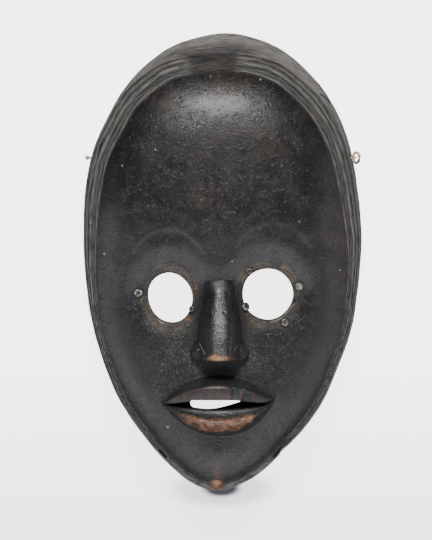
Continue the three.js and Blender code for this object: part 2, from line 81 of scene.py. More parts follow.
MM = 0.001
HALF_WIDTH = MASK_WIDTH / 2
HALF_HEIGHT = MASK_HEIGHT / 2
FACE_AXIS = -0.021 * HALF_WIDTH
FACE_CENTRE = np.array([FACE_AXIS, -0.465 * HALF_HEIGHT])
LEFT_EYE = np.array([-0.374 * HALF_WIDTH, -0.155 * HALF_HEIGHT])
RIGHT_EYE = np.array([0.323 * HALF_WIDTH, -0.14 * HALF_HEIGHT])
SOCKET_RADIUS = 0.28 * HALF_WIDTH
SOCKET_DEPTH = 0.04 * MASK_DEPTH
NOSE_TOP = -0.082 * HALF_HEIGHT
MOUTH_CENTRE = np.array([-0.031 * HALF_WIDTH, -0.6 * HALF_HEIGHT])
CORD_LINE = 0.454 * HALF_HEIGHT

# A small notch in the lower right edge: its place, depth and width in millimetres.
EDGE_NOTCH = (33.4, -101.8)
NOTCH_DEPTH = 1.1
NOTCH_WIDTH = 1.9

# What the rough wall and the top of the face keep clear of the solids' box.
WALL_INSET = 0.04
TOP_INSET = 0.15

# The cord's mesh: sides, the length of one turn of its strands in metres, and how deep they part.
CORD_SIDES = 12
CORD_LAY = 0.0042
STRAND_GROOVE = 0.22

# How far the cord's stem stands out of a hole, in millimetres.
STEM_OUTSIDE = 1.2

# Shares of the half width and half height, and of the flare of the wall, round the outline.
OUTLINE = [
    (1.0, 0.095, 0.17),
    (0.973, 0.314, 0.24),
    (0.922, 0.489, 0.27),
    (0.851, 0.62, 0.35),
    (0.728, 0.751, 0.45),
    (0.604, 0.838, 0.56),
    (0.427, 0.926, 0.68),
    (0.24, 0.977, 0.86),
    (0.02, 1.0, 1.0),
    (-0.235, 0.973, 0.8),
    (-0.412, 0.926, 0.55),
    (-0.594, 0.838, 0.32),
    (-0.716, 0.751, 0.17),
    (-0.836, 0.62, 0.08),
    (-0.93, 0.489, 0.07),
    (-0.987, 0.314, 0.07),
    (-1.0, 0.095, 0.07),
    (-0.976, -0.124, 0.07),
    (-0.926, -0.298, 0.07),
    (-0.836, -0.473, 0.07),
    (-0.743, -0.604, 0.07),
    (-0.599, -0.736, 0.08),
    (-0.485, -0.823, 0.09),
    (-0.346, -0.91, 0.09),
    (-0.196, -0.975, 0.07),
    (-0.047, -1.0, 0.05),
    (0.126, -0.975, 0.07),
    (0.297, -0.91, 0.09),
    (0.4415, -0.823, 0.09),
    (0.578, -0.736, 0.1),
    (0.729, -0.604, 0.11),
    (0.822, -0.473, 0.12),
    (0.926, -0.298, 0.14),
    (0.973, -0.124, 0.15),
]
# Height of the face along its middle: share of the half height, share of the depth.
CROWN = [
    (-1.0, 0.62),
    (-0.9, 0.66),
    (-0.79, 0.67),
    (-0.61, 0.712),
    (-0.465, 0.725),
    (-0.29, 0.73),
    (-0.15, 0.755),
    (0.0, 0.82),
    (0.2, 0.88),
    (0.45, 0.885),
    (0.65, 0.875),
    (0.8, 0.85),
    (0.91, 0.8),
]
# Height of the nose's ridge: share of its length, share of its rise.
NOSE_RIDGE = [
    (0.0, 0.0),
    (0.06, 0.24),
    (0.18, 0.42),
    (0.5, 0.72),
    (0.7, 0.88),
    (0.85, 0.96),
    (0.97, 1.0),
    (1.0, 0.9),
]

# How fine the shell's mesh is.
RAYS = 400
WALL_RINGS = 16
GROOVE_RINGS = 46
FACE_RINGS = 118
HOLLOW_RINGS = 42
PROFILE_STEPS = 420


def smooth(value, low, high):
    share = np.clip((np.asarray(value, float) - low) / (high - low), 0.0, 1.0)
    return share * share * (3.0 - 2.0 * share)


def bell(distance, width):
    return np.exp(-((np.asarray(distance, float) / width) ** 2))


def read_curve(points, at):
    """A smooth curve through a few points, read at many places."""
    xs, ys = np.array(points, float).T
    at = np.clip(np.asarray(at, float), xs[0], xs[-1])
    i = np.clip(np.searchsorted(xs, at, side="left") - 1, 0, len(xs) - 2)
    before = np.maximum(i - 1, 0)
    after = np.minimum(i + 2, len(xs) - 1)
    span = xs[i + 1] - xs[i]
    slope0 = (ys[i + 1] - ys[before]) / (xs[i + 1] - xs[before]) * span
    slope1 = (ys[after] - ys[i]) / (xs[after] - xs[i]) * span
    t = (at - xs[i]) / span
    a = 2 * t**3 - 3 * t**2 + 1
    b = t**3 - 2 * t**2 + t
    c = 3 * t**2 - 2 * t**3
    d = t**3 - t**2
    return a * ys[i] + b * slope0 + c * ys[i + 1] + d * slope1


def line_near(x, y, start, end, width):
    """1 on a straight line between two places, falling to 0 beside it."""
    sx, sy = start
    dx, dy = end[0] - sx, end[1] - sy
    share = np.clip(((x - sx) * dx + (y - sy) * dy) / (dx * dx + dy * dy), 0, 1)
    return bell(np.hypot(x - sx - share * dx, y - sy - share * dy), width)


class Grain:
    """Smooth random relief between -1 and 1, the same on every run."""

    def __init__(self, seed):
        self.table = np.random.default_rng(seed).uniform(-1.0, 1.0, (32, 32, 32))

    def __call__(self, x, y, z=0.0):
        x, y, z = np.broadcast_arrays(np.asarray(x, float), np.asarray(y, float), np.asarray(z, float))
        corner = [np.floor(v).astype(int) for v in (x, y, z)]
        share = [v - c for v, c in zip((x, y, z), corner)]
        weight = [s * s * (3 - 2 * s) for s in share]
        total = 0.0
        for dx in (0, 1):
            for dy in (0, 1):
                for dz in (0, 1):
                    w = 1.0
                    for side, part in zip((dx, dy, dz), weight):
                        w = w * (part if side else 1 - part)
                    at = tuple((c + d) % 32 for c, d in zip(corner, (dx, dy, dz)))
                    total = total + w * self.table[at]
        return total


grain = Grain(7)
coarse_grain = Grain(11)


def outline_points(per_span=40):
    """The widest outline, and the flare of the wall there, as a fine closed line."""
    control = np.array(OUTLINE) * (HALF_WIDTH, HALF_HEIGHT, WALL_FLARE)
    lines = []
    t = (np.arange(per_span) / per_span)[:, None]
    for i in range(len(control)):
        p0, p1, p2, p3 = (control[(i + k) % len(control)] for k in (-1, 0, 1, 2))
        d0, d1, d2 = (math.sqrt(np.linalg.norm(b - a)) for a, b in ((p0, p1), (p1, p2), (p2, p3)))
        m1 = ((p1 - p0) / d0 - (p2 - p0) / (d0 + d1) + (p2 - p1) / d1) * d1
        m2 = ((p2 - p1) / d1 - (p3 - p1) / (d1 + d2) + (p3 - p2) / d2) * d1
        lines.append(p1 + m1 * t + (3 * (p2 - p1) - 2 * m1 - m2) * t**2 + (2 * (p1 - p2) + m1 + m2) * t**3)
    return np.vstack(lines)


RIM = outline_points()
RIM_ANGLE = np.unwrap(np.arctan2(RIM[:, 1] - FACE_CENTRE[1], RIM[:, 0] - FACE_CENTRE[0]))
RIM_RADIUS = np.hypot(RIM[:, 0] - FACE_CENTRE[0], RIM[:, 1] - FACE_CENTRE[1])


def rim_at(angle):
    """Radius of the back rim and flare of the wall, seen from the centre of the face."""
    turn = 2 * math.pi
    angle = (np.asarray(angle, float) - RIM_ANGLE[0]) % turn + RIM_ANGLE[0]
    angles = np.append(RIM_ANGLE, RIM_ANGLE[0] + turn)
    radius = np.interp(angle, angles, np.append(RIM_RADIUS, RIM_RADIUS[0]))
    flare = np.interp(angle, angles, np.append(RIM[:, 2], RIM[0, 2]))
    return radius, flare


def edge_height(y):
    """Height of the front edge, where the side wall ends."""
    return SHOULDER_HEIGHT * (1 - 0.08 * smooth(-np.asarray(y) / HALF_HEIGHT, 0.2, 0.8))


def socket_drop(x, y):
    """How far the face sinks round the eyes."""

    def drop(eye):
        distance = np.hypot(x - eye[0], y - eye[1] - 0.12 * SOCKET_RADIUS) / SOCKET_RADIUS
        return SOCKET_DEPTH * (1 - smooth(distance, 0.45, 1.25))

    return np.maximum(drop(LEFT_EYE), drop(RIGHT_EYE))


def rim_share(x, y):
    """How far a place is from the centre of the face towards the front edge, 1 at the edge."""
    dx = x - FACE_CENTRE[0]
    dy = y - FACE_CENTRE[1]
    radius, flare = rim_at(np.arctan2(dy, dx))
    return np.minimum(np.hypot(dx, dy) / (radius - flare), 1.0)


def face_height(x, y, sockets=True):
    """Height of the face without grooves, nose and lips."""
    x = np.asarray(x, float)
    y = np.asarray(y, float)
    sideways = np.abs(x - FACE_AXIS) / HALF_WIDTH
    top = read_curve(CROWN, y / HALF_HEIGHT) * MASK_DEPTH - 0.2 * MASK_DEPTH * sideways**2
    edge = edge_height(y)
    fullness = 6 + 4 * smooth(y / HALF_HEIGHT, 0, 0.6)
    rise = (1 - rim_share(x, y) ** fullness) ** 0.6
    return edge + (top - edge - (socket_drop(x, y) if sockets else 0.0)) * rise


def face_frame(place):
    """The point of the face over a place, and the way that the wood faces there."""
    x, y = place
    step = 0.5
    slope_x = (face_height(x + step, y) - face_height(x - step, y)) / (2 * step)
    slope_y = (face_height(x, y + step) - face_height(x, y - step)) / (2 * step)
    return Vector((x, y, float(face_height(x, y)))), Vector((-slope_x, -slope_y, 1)).normalized()


def slit_edge(across, up):
    """The edge of the mouth's opening under the upper or over the lower lip."""
    tilt = 0.011 * HALF_HEIGHT * across**7
    sag = LIPS_SAG * (1 - across**10)
    opening = (0.48 if up else -0.45) * MOUTH_SLIT_HEIGHT * np.clip(1 - (across / LIPS_PARTED) ** 2, 0, 1)
    return MOUTH_CENTRE[1] + tilt - sag + opening


# How far across the mouth the lips stand apart, and their sections: out from the opening, high.
LIPS_PARTED = 0.88
UPPER_LIP = [
    (0.0, 0.9),
    (0.2, 0.97),
    (0.42, 1.0),
    (0.51, 1.0),
    (0.58, 0.91),
    (0.72, 0.6),
    (0.86, 0.24),
    (0.95, 0.06),
    (1.0, 0.0),
]
LOWER_LIP = [
    (0.0, 0.4),
    (0.06, 0.55),
    (0.2, 0.66),
    (0.38, 0.86),
    (0.5, 1.0),
    (0.58, 0.99),
    (0.72, 0.82),
    (0.86, 0.46),
    (0.95, 0.14),
    (1.0, 0.0),
]

# Cuts across the upper lip: place and depth in millimetres.
LIP_CUTS = [(5.0, 0.9), (10.7, 1.1), (17.2, 1.1)]


def lips(x, y, base):
    """Height of the lips over the face, and of the parting between them."""
    across = (x - MOUTH_CENTRE[0]) / (MOUTH_WIDTH / 2)
    inside = np.clip(1 - across**2, 0.0, 1.0)
    rise = LIP_HEIGHT * inside**0.6
    upper_start = slit_edge(np.clip(across, -1, 1), True)
    lower_start = slit_edge(np.clip(across, -1, 1), False)
    upper_reach = UPPER_LIP_REACH * np.clip(1 - np.abs(across) ** 2.6, 1e-3, 1)
    lower_reach = LOWER_LIP_REACH * np.clip(1 - np.abs(across) ** np.where(across > 0, 2.6, 2.0), 1e-3, 1)
    up = (y - upper_start) / upper_reach
    down = (lower_start - y) / lower_reach
    upper = np.where((up >= 0) & (up <= 1), read_curve(UPPER_LIP, up), 0.0)
    for place, depth in LIP_CUTS:
        cut = bell(x - place - 0.08 * (y + 70), 0.6) * smooth(up, 0.0, 0.06) * (1 - smooth(up, 0.5, 0.6))
        upper = upper - depth / LIP_HEIGHT * cut
    patch = smooth(x, 11.0, 11.8) * (1 - smooth(x, 16.0, 16.8)) * (1 - smooth(up, 0.46, 0.54))
    upper = upper - 0.06 * patch * (up > 0)
    lower = np.where((down >= 0) & (down <= 1), read_curve(LOWER_LIP, down), 0.0)
    height = base + (upper + lower) * rise * (inside > 0)
    parting = (up < 0) & (down < 0) & (np.abs(across) < 0.97)
    return np.where(parting, base - 2.5 * inside, height)


def nose(x, y, base):
    """Height of the nose and its wings over the face."""
    along = (NOSE_TOP - y) / NOSE_LENGTH
    half = NOSE_HALF_WIDTH * (0.68 + 0.32 * smooth(along, 0, 0.7))
    across = np.abs(x - FACE_AXIS) / half
    along = along + NOSE_TIP_ROUND / NOSE_LENGTH * smooth(along, 0.75, 1.0) * np.minimum(across, 1) ** 2
    bulge = np.clip(1 - across**3.3, 0.0, 1.0) ** 0.8
    rise = read_curve(NOSE_RIDGE, along) * NOSE_RISE
    fall = 1 - smooth(along, 0.985, 1.012)
    ridge = base + rise * bulge * fall * (along > 0)
    nick = bell(x - 0.9, 1.1) * bell(y + 26.6, 1.0) + 0.7 * line_near(x, y, (1.2, -27.0), (4.4, -31.2), 0.7)
    ridge = ridge - 0.22 * nick * (bulge > 0)
    height = ridge
    for side in (-1, 1):
        cx = FACE_AXIS + side * (NOSE_HALF_WIDTH - 0.15 * NOSTRIL_RADIUS)
        cy = NOSE_TOP - NOSE_LENGTH + NOSTRIL_RADIUS * 1.1
        dx = (x - cx) / NOSTRIL_RADIUS
        dy = (y - cy) / (1.15 * NOSTRIL_RADIUS)
        reach = np.hypot(dx, dy)
        dome = np.clip(1 - reach**2, 0.0, 1.0) ** 0.42
        wing = face_height(cx, cy) + 0.2 * NOSTRIL_RADIUS + 1.45 * NOSTRIL_RADIUS * dome
        turn = np.arctan2(dy, dx * side)
        curl = 0.6 + 0.06 * turn
        wing = wing - 0.6 * bell(reach - curl, 0.13) * smooth(turn, -2.0, -1.2)
        height = np.where(reach < 1, np.maximum(height, wing), height)
        crease = bell(reach - 1.03, 0.09) * smooth(dy, -1.0, 0.2) * smooth(-dx * side, -0.7, 0.3)
        height = height - 0.9 * crease
    return height


# The ends of the two thin cuts by the jaw, in shares of the half width and the half height.
JAW_CUTS = [((-0.454, -0.82), (-0.403, -0.854)), ((0.421, -0.812), (0.372, -0.85))]

# Each nail: name, place in the same shares, the eye that it leans to, its lean in degrees, its head.
NAILS = [
    ("forehead_nail", (-0.084, 0.799), None, 0, FOREHEAD_NAIL_HEAD_DIAMETER),
    ("eye_nail_left_outer", (-0.604, -0.134), LEFT_EYE, 4, NAIL_HEAD_DIAMETER),
    ("eye_nail_left_inner", (-0.212, -0.208), LEFT_EYE, 24, 0.8 * NAIL_HEAD_DIAMETER),
    ("eye_nail_right_outer", (0.549, -0.107), RIGHT_EYE, 4, NAIL_HEAD_DIAMETER),
    ("eye_nail_right_inner", (0.158, -0.197), RIGHT_EYE, 24, NAIL_HEAD_DIAMETER),
    ("eye_nail_right_lower", (0.445, -0.266), RIGHT_EYE, 4, 0.9 * NAIL_HEAD_DIAMETER),
    ("eye_nail_right_upper", (0.19, -0.038), RIGHT_EYE, 4, 0.8 * NAIL_HEAD_DIAMETER),
]


def share_place(spot):
    """A place given in shares of the half width and the half height."""
    return np.array([spot[0] * HALF_WIDTH, spot[1] * HALF_HEIGHT])


def eye_distance(x, y, eye, size, lean=0.0):
    """Distance outside the edge of an eye hole, near enough, in millimetres."""
    dx = x - eye[0]
    dy = y - eye[1]
    u = (dx * math.cos(lean) + dy * math.sin(lean)) / (size[0] / 2)
    v = (-dx * math.sin(lean) + dy * math.cos(lean)) / (size[1] / 2)
    return (np.hypot(u, v) - 1) * (size[0] + size[1]) / 4


# Each eye hole: middle, size, lean and the width of the worn ring round it.
EYES = [
    (LEFT_EYE, LEFT_EYE_SIZE, 0.3, 5.3),
    (RIGHT_EYE, RIGHT_EYE_SIZE, 0.0, 4.9),
]
# The brow arcs: middle and radius.
BROWS = [((-29.2, -3.3), 20.1), ((27.0, -1.2), 21.6)]


def eye_rings(x, y):
    """Depth of the worn rings round the eye holes and of the brows. The nails' seats stay flat."""
    depth = 0.0
    scraped = 0.1 * coarse_grain(x / 2.1, y / 2.1, 2.0)
    for eye, size, lean, width in EYES:
        out = eye_distance(x, y, eye, size, lean)
        width = width + 0.7 * grain(x / 4, y / 4, 3.0)
        turned = 0.06 * np.sin(2.4 * out + 3 * grain(x / 6, y / 6))
        depth = depth + (0.16 + turned) * (1 - smooth(out, width - 1.0, width + 1.0))
        depth = depth + scraped * (1 - smooth(out, width - 1.5, width + 0.5))
        depth = depth + 0.9 * np.clip(1 - out / 1.4, 0, 1) ** 2
    for centre, radius in BROWS:
        dx, dy = x - centre[0], y - centre[1]
        out = np.hypot(dx, dy) - radius
        upper = smooth(np.sin(np.arctan2(dy, dx)), 0.12, 0.45)
        depth = depth + upper * (0.18 * (1 - smooth(out, -0.8, 0.6)) * smooth(out, -9, -2))
    arc = np.hypot(x - LEFT_EYE[0] - 0.5, y - LEFT_EYE[1] + 1.0)
    turn = np.arctan2(y - LEFT_EYE[1], x - LEFT_EYE[0])
    depth = depth + 0.5 * bell(arc - 18.0, 0.5) * smooth(turn, 0.9, 1.3)
    seat = 1.0
    for _, spot, _, _, head in NAILS:
        px, py = share_place(spot)
        seat = seat * smooth(np.hypot(x - px, y - py), 0.5 * head, 0.5 * head + 1.2)
    return depth * seat


def hand_relief(x, y):
    """The slight unevenness that hand work leaves."""
    return 0.12 * coarse_grain(x / 13, y / 13) + 0.05 * grain(x / 5, y / 5)


def front_height(x, y):
    """Height of the finished face, without the grooves along its edge."""
    worked = face_height(x, y) - eye_rings(x, y) + hand_relief(x, y)
    worked = worked - 0.35 * bell(np.hypot(x + 65.5, y - 10.0), 1.6)
    return np.minimum(lips(x, y, nose(x, y, worked)), MASK_DEPTH - TOP_INSET)


def groove_strength(x, y):
    """1 where the grooves run, 0 on the crown, where they part, and on the chin."""
    top = smooth(np.abs(x + 0.07 * HALF_WIDTH) / HALF_WIDTH, 0.1, 0.3)
    at_top = np.where(y > 0, top, 1.0)
    return at_top * smooth(y / HALF_HEIGHT, -0.8, -0.7)


def groove_zone(angle):
    """Width of the band of grooves, measured along a ray from the centre of the face."""
    radius, _ = rim_at(angle)
    step = 0.03
    change = (rim_at(angle + step)[0] - rim_at(angle - step)[0]) / (2 * step)
    slant = np.hypot(1, change / radius)
    y = FACE_CENTRE[1] + radius * np.sin(angle)
    return slant * GROOVE_ZONE_WIDTH * (0.33 + 0.67 * smooth(y / HALF_HEIGHT, -0.5, 0.8))


# Across the band from the edge inwards: share of the band, depth in millimetres.
GROOVES = [
    (0.0, 0.0),
    (0.05, 0.15),
    (0.1, 1.25),
    (0.15, 0.2),
    (0.22, 0.0),
    (0.28, 0.15),
    (0.34, 1.3),
    (0.4, 0.25),
    (0.46, 0.05),
    (0.53, 0.25),
    (0.6, 1.0),
    (0.72, 0.8),
    (0.83, 1.0),
    (0.88, 0.4),
    (0.93, -0.15),
    (0.97, 0.1),
    (1.0, 0.15),
]


def even_rays():
    """Places of the rays round the outline, evenly along its length."""
    closed = np.vstack([RIM, RIM[:1]])
    along = np.concatenate([[0], np.cumsum(np.linalg.norm(np.diff(closed, axis=0), axis=1))])
    wanted = np.linspace(0, along[-1], RAYS, endpoint=False)
    x, y = (np.interp(wanted, along, closed[:, k]) for k in (0, 1))
    return np.arctan2(y - FACE_CENTRE[1], x - FACE_CENTRE[0]), wanted


def through(controls, count):
    """Smooth rows through a few control rows."""
    rows = np.array(controls)
    place = np.linspace(0, len(rows) - 1, count)
    i = np.clip(place.astype(int), 0, len(rows) - 2)
    t = (place - i).reshape((-1,) + (1,) * (rows.ndim - 1))
    p0, p1, p2, p3 = (rows[np.clip(i + k, 0, len(rows) - 1)] for k in (-1, 0, 1, 2))
    square = 2 * p0 - 5 * p1 + 4 * p2 - p3
    cube = 3 * p1 - p0 - 3 * p2 + p3
    return 0.5 * (2 * p1 + (p2 - p0) * t + square * t**2 + cube * t**3)


class Rays:
    """Rays from the centre of the face through the outline. Every ring has one point on each."""

    def __init__(self):
        self.angle, self.length = even_rays()
        self.cos, self.sin = np.cos(self.angle), np.sin(self.angle)
        self.radius, self.flare = rim_at(self.angle)
        self.front = self.radius - self.flare
        self.zone = groove_zone(self.angle)
        rim_x, rim_y = self.spot(self.radius)
        self.strength = groove_strength(rim_x, rim_y)
        self.edge = edge_height(rim_y)
        self.notch = NOTCH_DEPTH * bell(np.hypot(rim_x - EDGE_NOTCH[0], rim_y - EDGE_NOTCH[1]), NOTCH_WIDTH)

    def spot(self, reach):
        """The places on the rays at a reach from the centre."""
        return FACE_CENTRE[0] + reach * self.cos, FACE_CENTRE[1] + reach * self.sin

    def ring(self, reach, height):
        x, y = self.spot(reach)
        return np.stack([x, y, height], axis=-1)


def face_rings(rays):
    """The face: rings set evenly along each ray's own profile, so that steep carving gets more of them."""
    inner = rays.front - rays.zone
    fine = np.linspace(0, 1, PROFILE_STEPS)[:, None] * inner
    fine_height = front_height(*rays.spot(fine))
    steps = np.hypot(np.diff(fine, axis=0), 0.8 * np.diff(fine_height, axis=0))
    travel = np.vstack([np.zeros(RAYS), np.cumsum(steps, axis=0)])
    reach = np.empty((FACE_RINGS, RAYS))
    for k in range(RAYS):
        wanted = np.linspace(0, travel[-1, k], FACE_RINGS + 1)[1:]
        reach[:, k] = np.interp(wanted, travel[:, k], fine[:, k])
    shares = reach / inner
    for _ in range(3):
        shares = (np.roll(shares, 1, axis=1) + 2 * shares + np.roll(shares, -1, axis=1)) / 4
    reach = shares * inner
    return rays.ring(reach, front_height(*rays.spot(reach)))


def groove_rings(rays):
    """The band of grooves along the edge, from the face outwards."""
    rings = []
    for share in np.linspace(1, 0, GROOVE_RINGS + 1)[1:]:
        wander = 0.018 * coarse_grain(rays.length / 22, share * 3) * math.sin(math.pi * share)
        reach = rays.front - (share + wander) * rays.zone - rays.notch * max(0.0, 1 - 3 * share)
        x, y = rays.spot(reach)
        depth = read_curve(GROOVES, share) * (1 + 0.25 * grain(rays.length / 9, 2.0 + share * 2))
        height = face_height(x, y) - depth * rays.strength + hand_relief(x, y) * min(1, 8 * share)
        rings.append(rays.ring(reach, height))
    return np.array(rings)


def wall_rings(rays):
    """The side wall, rough from the blade."""
    rings = []
    for share in np.linspace(1, 0, WALL_RINGS + 1)[1:]:
        rough = 0.38 * grain(rays.length / 7, share * 5.0)
        rough = rough + 0.22 * coarse_grain(rays.length / 2.6, share * 9.0, 5.0)
        fade = math.sin(math.pi * min(max(share, 0.04), 0.96)) ** 0.5
        cut = np.minimum(rough - 0.3, -0.06) * fade - rays.notch
        reach = rays.radius - WALL_INSET - rays.flare * share**1.5 + cut
        rings.append(rays.ring(reach, rays.edge * share))
    return np.array(rings)


def rim_rings(rays):
    """The flat back rim."""
    reaches = [rays.radius - share * RIM_THICKNESS for share in (0.06, 0.3, 0.62, 0.93)]
    return np.array([rays.ring(reach, np.zeros(RAYS)) for reach in reaches])


def hollow_rings(rays):
    """The hollow, from the rim to its middle, with the marks of the gouge."""
    back = rays.front - RIM_THICKNESS
    controls = [
        rays.ring(rays.radius - RIM_THICKNESS, np.full(RAYS, 0.35)),
        rays.ring(rays.radius - RIM_THICKNESS - 0.35 * rays.flare, 0.45 * rays.edge),
        rays.ring(back - 0.15 * RIM_THICKNESS, 0.8 * rays.edge),
    ]
    for share in (0.93, 0.82, 0.7, 0.56, 0.42, 0.28, 0.14, 0.03):
        x, y = rays.spot(back * share)
        controls.append(rays.ring(back * share, face_height(x, y, False) - FACE_THICKNESS))
    hollow = through(controls, HOLLOW_RINGS)
    x, y, z = hollow[..., 0], hollow[..., 1], hollow[..., 2]
    gouge = np.abs(np.sin(0.42 * x + 1.6 * coarse_grain(x / 17, y / 17, 1.0)))
    gouge = gouge * np.abs(np.sin(0.19 * y + 1.9 * grain(x / 14, y / 20, 9.0)))
    hollow[..., 2] = z - (0.55 * gouge + 0.1 * grain(x / 3, y / 3, z / 3)) * smooth(z, 1.0, 9.0)
    return hollow


def mask_rings():
    """Rings of points over the whole shell, from the middle of the face out, round the rim and in."""
    rays = Rays()
    parts = (face_rings, groove_rings, wall_rings, rim_rings, hollow_rings)
    return np.vstack([part(rays) for part in parts])


def linked_object(name, mesh):
    piece = bpy.data.objects.new(name, mesh)
    bpy.context.scene.collection.objects.link(piece)
    return piece


def mesh_object(name, verts, faces):
    mesh = bpy.data.meshes.new(name)
    mesh.from_pydata([tuple(v) for v in verts], [], faces)
    mesh.validate()
    return linked_object(name, mesh)


def placed_mesh(name, work):
    """An object of a bmesh, which is freed."""
    mesh = bpy.data.meshes.new(name)
    work.to_mesh(mesh)
    work.free()
    return linked_object(name, mesh)


def hold_result(piece, mesh_name):
    """Replaces an object's mesh and modifiers by the mesh that they give."""
    graph = bpy.context.evaluated_depsgraph_get()
    mesh = bpy.data.meshes.new_from_object(piece.evaluated_get(graph))
    piece.modifiers.clear()
    old = piece.data
    piece.data = mesh
    bpy.data.meshes.remove(old)
    mesh.name = mesh_name


def shell_object():
    rings = mask_rings()
    count = len(rings)
    middle_top = np.array([*FACE_CENTRE, float(front_height(*FACE_CENTRE))])
    middle_back = rings[-1].mean(axis=0)
    points = np.vstack([rings.reshape(-1, 3), middle_top, middle_back]) * MM
    index = np.arange(count * RAYS).reshape(count, RAYS)
    turned = np.roll(index, -1, axis=1)
    quads = np.stack([index[:-1], index[1:], turned[1:], turned[:-1]], axis=-1).reshape(-1, 4)
    top, back = count * RAYS, count * RAYS + 1
    fans = [(top, int(a), int(b)) for a, b in zip(index[0], turned[0])]
    fans += [(back, int(b), int(a)) for a, b in zip(index[-1], turned[-1])]
    return mesh_object("carved_face", points.tolist(), quads.tolist() + fans)


def add_prism(work, outline, low, high):
    """A straight prism of a closed outline, added to a bmesh."""
    floor = [work.verts.new((x * MM, y * MM, low * MM)) for x, y in outline]
    roof = [work.verts.new((x * MM, y * MM, high * MM)) for x, y in outline]
    work.faces.new(list(reversed(floor)))
    work.faces.new(roof)
    for i in range(len(outline)):
        j = (i + 1) % len(outline)
        work.faces.new((floor[i], floor[j], roof[j], roof[i]))


def add_rod(work, middle, direction, radius, length, sides=20):
    """A round rod, added to a bmesh."""
    turn = Vector((0, 0, 1)).rotation_difference(Vector(direction)).to_matrix().to_4x4()
    matrix = Matrix.Translation(Vector(middle) * MM) @ turn
    bmesh.ops.create_cone(
        work,
        cap_ends=True,
        segments=sides,
        radius1=radius * MM,
        radius2=radius * MM,
        depth=length * MM,
        matrix=matrix,
    )


def cutter_object(name, work):
    bmesh.ops.recalc_face_normals(work, faces=work.faces)
    return placed_mesh(name, work)


def ellipse(centre, size, lean, sides=120):
    turns = np.linspace(0, 2 * math.pi, sides, endpoint=False)
    wobble = 1 + 0.008 * np.sin(3 * turns + 0.7) + 0.006 * np.sin(5 * turns + 2.0)
    u = size[0] / 2 * np.cos(turns) * wobble
    v = size[1] / 2 * np.sin(turns) * wobble
    x = centre[0] + u * math.cos(lean) - v * math.sin(lean)
    y = centre[1] + u * math.sin(lean) + v * math.cos(lean)
    return list(zip(x, y))


def slit_outline():
    """The see-through part of the mouth: blunt on the left, pointed on the right, low on its left half."""
    half = MOUTH_SLIT_WIDTH / 2
    depth = 0.9 * MOUTH_SLIT_HEIGHT
    middle = MOUTH_CENTRE[0] - 0.12 * half
    top = float(slit_edge(0.0, True)) - 0.09 * depth
    line = [
        (-1.0, -0.17),
        (-0.97, -0.55),
        (-0.88, -0.78),
        (-0.62, -0.92),
        (-0.34, -1.0),
        (0.0, -0.93),
        (0.39, -0.66),
        (0.79, -0.29),
        (0.955, -0.12),
        (1.0, -0.02),
        (0.94, 0.06),
    ]
    rows = through([np.array(p) for p in line], 50)
    arc = [(middle + across * half, top + down * depth) for across, down in rows]
    return arc + [(middle + 0.85 * half, top + 0.1 * depth), (middle - 0.95 * half, top + 0.1 * depth)]


def wall_at(side, inset):
    """Where a wall crosses the line of the cord."""

    def reach_at(angle):
        radius, flare = rim_at(angle if side > 0 else math.pi - angle)
        return float(radius - inset(flare))

    low, high = 0.0, math.pi / 2
    for _ in range(40):
        angle = (low + high) / 2
        if FACE_CENTRE[1] + reach_at(angle) * math.sin(angle) < CORD_LINE:
            low = angle
        else:
            high = angle
    return FACE_CENTRE[0] + side * reach_at(low) * math.cos(low)


WALL_SHARE = CORD_HOLE_HEIGHT / float(edge_height(CORD_LINE))
RIGHT_WALL = wall_at(1, lambda flare: flare * WALL_SHARE**1.5)
LEFT_WALL = wall_at(-1, lambda flare: flare * WALL_SHARE**1.5)
RIGHT_INNER = wall_at(1, lambda flare: RIM_THICKNESS + 0.35 * flare)
LEFT_INNER = wall_at(-1, lambda flare: RIM_THICKNESS + 0.35 * flare)


def nail_axis(spot, eye, lean):
    """Where a nail stands, and which way it points out of the wood."""
    place = share_place(spot)
    point, normal = face_frame(place)
    out = normal.copy()
    if eye is not None:
        to_eye = Vector((eye[0] - place[0], eye[1] - place[1], 0)).normalized()
        out = (out + to_eye * math.tan(math.radians(lean))).normalized()
    return point, normal, out


